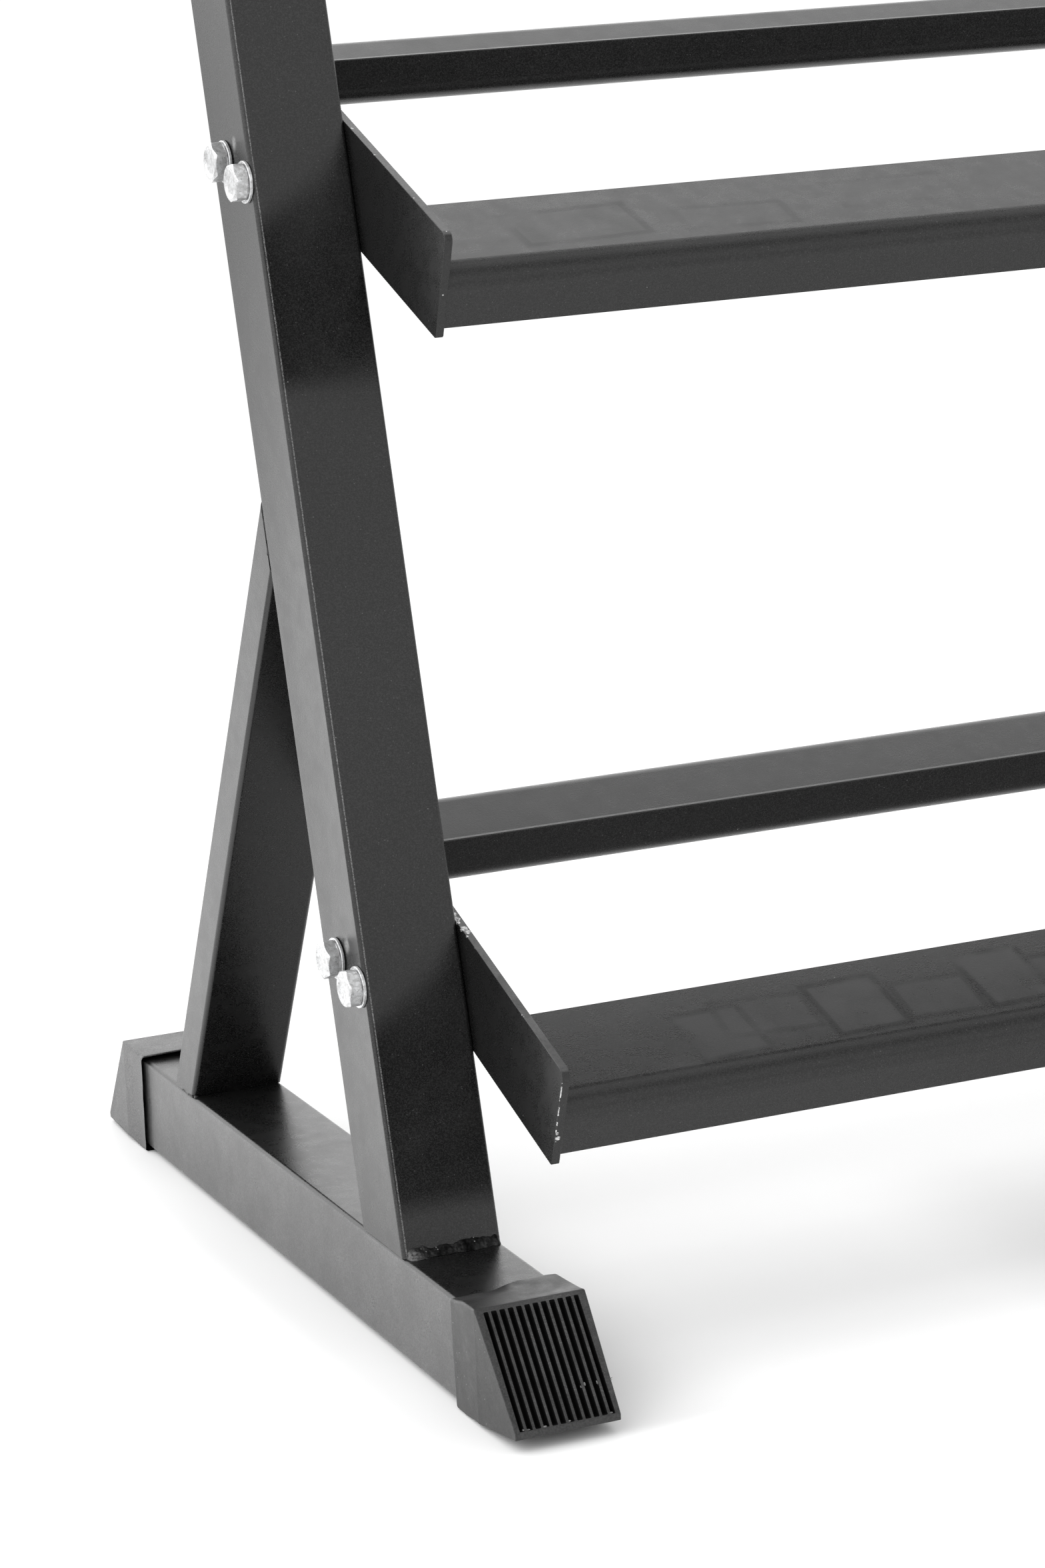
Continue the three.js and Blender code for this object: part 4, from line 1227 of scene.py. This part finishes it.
for side in ("left", "right"):
    for which in ("front", "rear"):
        seed = {"left": 11, "right": 23}[side] + (0 if which == "front" else 5)
        nb, nt = (4.4, 7.8) if which == "front" else (-0.1, 2.95)
        body, socket, slots, bits = foot_cap(nb, nt, seed, which == "front")

        def place(V, which=which, side=side):
            V = np.array(V, float)
            if which == "front":
                P = np.stack([V[:, 0], -61.5 - V[:, 1], V[:, 2]], 1)
            else:
                P = np.stack([V[:, 0], 369.5 + V[:, 1], V[:, 2]], 1)
            return to_frame(P, side)
        me = mesh_of("cap", place(body[0]), body[1])
        a = mesh_of("socket", place(socket[0]), socket[1])
        b = mesh_of("slots", place(slots[0]), slots[1])
        # painted shade: the cut faces inside the slots and socket take the darker recess material
        me = cut(me, [a, b], mats=(CAP[(side, which)], RECESS_SHADE))
        piece(f"{side}_{which}_cap_moulded", me, CAP[(side, which)], f"{side}_{which}_foot_cap", sharp=38)
        piece(f"{side}_{which}_cap_flash", mesh_of("flash", place(bits[0]), bits[1]), FLASH, (), sharp=80, wn=False)


# ------------------------------------------------------------------- top plugs
def plug():
    def sec(half, r, z):
        return [(x + 25, y + 25, z) for x, y in rounded([(-half, -half), (half, -half), (half, half), (-half, half)], r, True, 8)]
    rings = [sec(22.6, 1.2, -14.0), sec(22.75, 1.4, -13.6), sec(22.5, 1.5, 0.0), sec(24.6, 2.4, 0.02), sec(24.9, 2.7, 0.25), sec(24.9, 2.8, 1.6),
             sec(24.6, 3.2, 2.2), sec(24.0, 3.6, 2.7), sec(22.5, 4.2, 3.15), sec(19.0, 4.6, 3.5), sec(12.0, 4.4, 3.8), sec(4.0, 2.0, 3.9)]
    V, F = loft(rings)
    return V, F


PVg = plug()
for side in ("left", "right"):
    V = np.array([upright_place(a, b, 1000.0 + t) for a, b, t in PVg[0]])
    me = mesh_of("plug", to_frame(V, side), PVg[1])
    hollowing = loft([[(x + 25, y + 25, z) for x, y in rounded([(-h, -h), (h, -h), (h, h), (-h, h)], 1.0, True, 3)] for z, h in ((-20.0, 20.6), (-1.0, 20.2))])
    H = np.array([upright_place(a, b, 1000.0 + t) for a, b, t in hollowing[0]])
    me = cut(me, [mesh_of("hollow", to_frame(H, side), hollowing[1])])
    piece(f"{side}_top_plug_moulded", me, PLUG, f"{side}_upright_top_plug", sharp=38)


# ----------------------------------------------------------------------- welds
def bead(path, radius, seed, ripple=1.7, lump=0.25, n=18, squash=1.0, blobs=()):
    """Weld bead along path: overlapping ripples, uneven width, blunt ends."""
    P = np.array(path, float)
    seg = np.hypot(*(np.diff(P, axis=0)).T[:2]) if P.shape[1] == 2 else np.sqrt((np.diff(P, axis=0) ** 2).sum(1))
    L = float(seg.sum())
    m = max(10, int(L / 0.45))
    cum = np.concatenate([[0], np.cumsum(seg)])
    ts = np.linspace(0, L, m + 1)
    C = np.stack([np.interp(ts, cum, P[:, j]) for j in range(3)], 1)
    T = np.gradient(C, axis=0)
    T /= np.linalg.norm(T, axis=1)[:, None]
    nz = Noise(seed)
    rings = []
    for i, (c, t) in enumerate(zip(C, T)):
        s = ts[i]
        ref = np.array([0, 0, 1.0]) if abs(t[2]) < 0.9 else np.array([0, 1.0, 0])
        e1 = np.cross(t, ref)
        e1 /= np.linalg.norm(e1)
        e2 = np.cross(t, e1)
        phase = (s / ripple + 0.25 * nz.at(s / 4.0)) % 1.0
        rip = 1 + 0.10 * (1 - abs(phase * 2 - 1)) - 0.05
        r = radius * rip * (1 + lump * nz.at(s / 3.4, 2.0) + 0.5 * lump * nz.at(s / 1.3, 5.0))
        for bs, bw, bh in blobs:
            r += bh * math.exp(-((s - bs) / bw) ** 2)
        endf = min(1.0, (s + 0.25) / 1.6, (L - s + 0.25) / 1.6)
        r *= math.sqrt(max(0.05, 1 - (1 - endf) ** 2))
        row = []
        for j in range(n):
            a = 2 * math.pi * j / n
            rr = r * (1 + 0.10 * nz.at(s / 1.6 + j * 0.35, j * 0.5))
            row.append(c + (e1 * math.cos(a) + e2 * math.sin(a) * squash) * rr)
        rings.append(row)
    return loft(rings)


def weld(name, beads, side=None, tier=None, mat=None):
    V, F = joined(*beads)
    W = to_frame(V, side) if side else from_tier(V, tier)
    return piece(name, mesh_of("weld", W, F), mat or WELD, (), sharp=60, wn=False)


def fillet(corner, da, db, seed, la=3.4, lb=3.4, x0=1.2, x1=48.8, bulge=0.46, pitch=2.7, blobs=()):
    """Fillet weld along x between two faces meeting at corner (y, z): toes on the faces along da and db,
    surface slightly convex, toes scalloped, ripples laid over one another."""
    nz = Noise(seed)
    m, n = int((x1 - x0) / 0.28), 12
    da, db = np.array(da, float), np.array(db, float)
    mid = da + db
    mid /= np.hypot(*mid)
    rings = []
    for i in range(m + 1):
        x = x0 + (x1 - x0) * i / m
        endf = min(1.0, (x - x0 + 0.15) / 1.8, (x1 - x + 0.15) / 1.8)
        endf = math.sqrt(max(0.03, 1 - (1 - endf) ** 2))
        base = 1 + 0.22 * float(nz.at(x / 5.0, 1.0)) + 0.05 * float(nz.at(x / 1.7, 4.0))
        for bx, bw, bh in blobs:
            base += bh * math.exp(-((x - bx) / bw) ** 2)
        row = []
        c = np.array(corner, float)
        for j in range(n + 1):
            v = j / n
            # ripple front curves back towards the toes
            ph = (x + 1.1 * (2 * v - 1) ** 2 + 0.8 * float(nz.at(x / 6.0, 7.0))) / pitch
            tri = ph - math.floor(ph)
            rip = 0.045 * (1 - tri) - 0.02
            toe = 0.07 * abs(math.sin(math.pi * ph))
            a = la * base * endf * (1 + toe)
            b = lb * base * endf * (1 + toe)
            A, B, K = c + da * a, c + db * b, c + (da * a + db * b) * bulge
            p = A * (1 - v) ** 2 + K * 2 * v * (1 - v) + B * v * v
            w = 4 * v * (1 - v)
            p = p + mid * (w * endf * (rip + 0.30 * float(nz.at(x / 2.6 + 20, v * 2.2)) + 0.12 * float(nz.at(x / 0.9, v * 6.0))) + 0.10)
            row.append((x, p[0], p[1]))
        q = c - mid * 1.2
        row.append((x, q[0], q[1]))
        rings.append(row)
    return loft(rings)


for side, sd in (("left", 3), ("right", 41)):
    up_dir, fwd, back = (SA, CA), (-1.0, 0.0), (1.0, 0.0)
    beads = [
        fillet((0.0, 50.0), up_dir, fwd, sd, 3.6, 3.6, 1.9, 49.0, blobs=((5.5, 2.6, 0.42), (10.5, 1.6, 0.18), (22.0, 3.0, 0.10), (31.0, 2.6, 0.14), (41.0, 4.0, 0.22), (47.0, 1.5, 0.20))),
        fillet((50 / CA, 50.0), up_dir, back, sd + 1, 3.2, 3.2),
    ]
    weld(f"{side}_upright_foot_weld", beads, side)
    yb1 = 293.0 + 25 / CB
    beads = [
        fillet((yb1, 50.0), (-SB, CB), back, sd + 3, 3.0, 3.0),
        bead([(0.15, 292.5, 50.2), (0.15, 300.0, 49.9), (0.15, 309.0, 50.1)], 0.52, sd + 4, ripple=1.5, lump=0.85, squash=0.7),
        bead([(0.5, 291.5, 50.2), (2.6, 291.7, 50.3)], 0.8, sd + 9, lump=0.5),
    ]
    weld(f"{side}_brace_foot_weld", beads, side)
    tt = lambda b: (293 * CA + b * math.cos(LEAN + BRACE) - 50.03) / math.sin(LEAN + BRACE)
    p0 = brace_place(0, 0, tt(0))
    p1 = brace_place(0, 25, tt(25))
    beads = [
        fillet((p0[1], p0[2]), (SB, -CB), (-SA, -CA), sd + 5, 4.5, 4.5, bulge=0.5),
        fillet((p1[1], p1[2]), (SA, CA), (SB, -CB), sd + 6, 0.9, 1.9),
        bead([(0.55, p0[1] * (1 - f) + p1[1] * f + 0.25, p0[2] * (1 - f) + p1[2] * f) for f in (0.03, 0.5, 0.93)], 0.55, sd + 7, ripple=1.8, lump=0.6, squash=0.9),
    ]
    weld(f"{side}_brace_upright_weld", beads, side, mat=COAT)

for k, tier in enumerate(TIERS):
    beads = []
    for sg in (-1, 1):
        x = sg * (HALF - 0.7)
        # under the front rail, behind its flange, and under the rear rail
        beads.append(bead([(x, 12.0, -24.6), (x, 30.0, -24.7)], 1.7, 60 + k + sg, lump=0.3))
        beads.append(bead([(x, 48.0, -24.9), (x, 68.0, -25.0)], 1.7, 70 + k + sg, lump=0.3))
        beads.append(bead([(x, 7.0, -30.0), (x, 7.0, -44.0)], 1.6, 80 + k + sg, lump=0.3))
        beads.append(bead([(x, 196.0, -22.2), (x, 214.0, -22.2)], 1.6, 90 + k + sg, lump=0.3))
        beads.append(bead([(x, 232.0, -22.2), (x, 250.0, -22.2)], 1.6, 100 + k + sg, lump=0.3))
    weld(f"{tier}_rail_welds", beads, tier=k)

# --------------------------------------------------------------- floor, lights
fv = [(-40, -40, 0), (40, -40, 0), (40, 40, 0), (-40, 40, 0)]
me = bpy.data.meshes.new("floor")
me.from_pydata(fv, [], [(0, 1, 2, 3)])
me.materials.append(floor_mat())
floor = bpy.data.objects.new("floor", me)
bpy.context.scene.collection.objects.link(floor)


# Soft light from all round: brightness by azimuth (0, 45 ... 315 degrees clockwise from +Y) in four bands of
# elevation, and overhead.
SKY = (
    (2.02, 1.68, 1.25, 0.85, 1.00, 1.50, 2.04, 2.30),
    (2.22, 1.61, 1.14, 1.13, 1.24, 1.68, 2.30, 2.65),
    (2.60, 1.18, 0.81, 0.88, 1.39, 2.21, 2.65, 2.95),
    (2.73, 2.10, 1.00, 0.55, 1.21, 2.12, 2.90, 3.00),
)
SKY_TOP = 1.14
SKY_EDGES = (9.5, 25.0, 40.0, 59.0)


def world():
    w = bpy.data.worlds.new("studio")
    bpy.context.scene.world = w
    w.use_nodes = True
    t = w.node_tree
    t.nodes.clear()
    out = t.nodes.new("ShaderNodeOutputWorld")
    bg = t.nodes.new("ShaderNodeBackground")
    tc = t.nodes.new("ShaderNodeTexCoord")
    sp = t.nodes.new("ShaderNodeSeparateXYZ")
    t.links.new(tc.outputs["Generated"], sp.inputs[0])

    def node(kind, op, *args):
        n = t.nodes.new(kind)
        if op:
            n.operation = op
        for sock, v in zip(n.inputs, args):
            if isinstance(v, bpy.types.NodeSocket):
                t.links.new(v, sock)
            else:
                sock.default_value = v
        return n.outputs[0]
    turn = node("ShaderNodeMath", "ARCTAN2", sp.outputs[0], sp.outputs[1])
    turn = node("ShaderNodeMath", "MULTIPLY_ADD", turn, 1.0 / (2 * math.pi), 0.5)
    level = None
    for band, row in enumerate(SKY):
        ramp = t.nodes.new("ShaderNodeValToRGB")
        t.links.new(turn, ramp.inputs[0])
        cr = ramp.color_ramp
        cr.interpolation = "EASE"
        stops = [(j / 8.0, row[(j + 4) % 8]) for j in range(9)]
        while len(cr.elements) < len(stops):
            cr.elements.new(0.5)
        for e, (p, v) in zip(cr.elements, stops):
            e.position = p
            e.color = (v / 4.0, v / 4.0, v / 4.0, 1)
        here = node("ShaderNodeMath", "MULTIPLY", ramp.outputs[0], 4.0)
        if level is None:
            level = here
        else:
            level = blend(t, sp.outputs[2], SKY_EDGES[band - 1], level, here)
    level = blend(t, sp.outputs[2], SKY_EDGES[3], level, SKY_TOP, 9.0)
    bg.inputs["Color"].default_value = (1, 1, 1, 1)
    t.links.new(level, bg.inputs["Strength"])
    t.links.new(bg.outputs[0], out.inputs["Surface"])


def blend(t, z, edge, low, high, half=5.0):
    """low below the elevation edge (degrees), high above it, softly."""
    n = t.nodes.new("ShaderNodeMapRange")
    n.interpolation_type = "SMOOTHSTEP"
    t.links.new(z, n.inputs["Value"])
    n.inputs["From Min"].default_value = math.sin(math.radians(edge - half))
    n.inputs["From Max"].default_value = math.sin(math.radians(edge + half))
    m = t.nodes.new("ShaderNodeMix")
    m.data_type = "FLOAT"
    t.links.new(n.outputs[0], m.inputs[0])
    for sock, v in ((m.inputs[2], low), (m.inputs[3], high)):
        if isinstance(v, bpy.types.NodeSocket):
            t.links.new(v, sock)
        else:
            sock.default_value = v
    return m.outputs[0]


world()

vs = bpy.context.scene.view_settings
vs.view_transform = "Standard"
vs.look = "None"
vs.exposure = 0.0
vs.gamma = 1.0

# ---------------------------------------------------------------------- camera
AZ, EL, ROLL = 0.4037605, 0.2350512, -0.0441821
F_PX = 6695.64
EYE = (-715.948, -1842.276, 748.821)
fw = np.array([math.sin(AZ) * math.cos(EL), math.cos(AZ) * math.cos(EL), -math.sin(EL)])
rt = np.array([math.cos(AZ), -math.sin(AZ), 0.0])
up = np.cross(rt, fw)
r_ = math.cos(ROLL) * rt + math.sin(ROLL) * up
u_ = -math.sin(ROLL) * rt + math.cos(ROLL) * up
cam_data = bpy.data.cameras.new("camera")
cam_data.sensor_fit = "AUTO"
cam_data.sensor_width = 36.0
cam_data.lens = F_PX / 2352.0 * 36.0
cam_data.clip_start, cam_data.clip_end = 0.05, 60.0
cam_data.dof.use_dof = False
cam = bpy.data.objects.new("camera", cam_data)
bpy.context.scene.collection.objects.link(cam)
M = Matrix(((r_[0], u_[0], -fw[0], (EYE[0] - XO) / 1000.0), (r_[1], u_[1], -fw[1], (EYE[1] - YO) / 1000.0), (r_[2], u_[2], -fw[2], (EYE[2] + ZO) / 1000.0), (0, 0, 0, 1)))
cam.matrix_world = M
bpy.context.scene.camera = cam
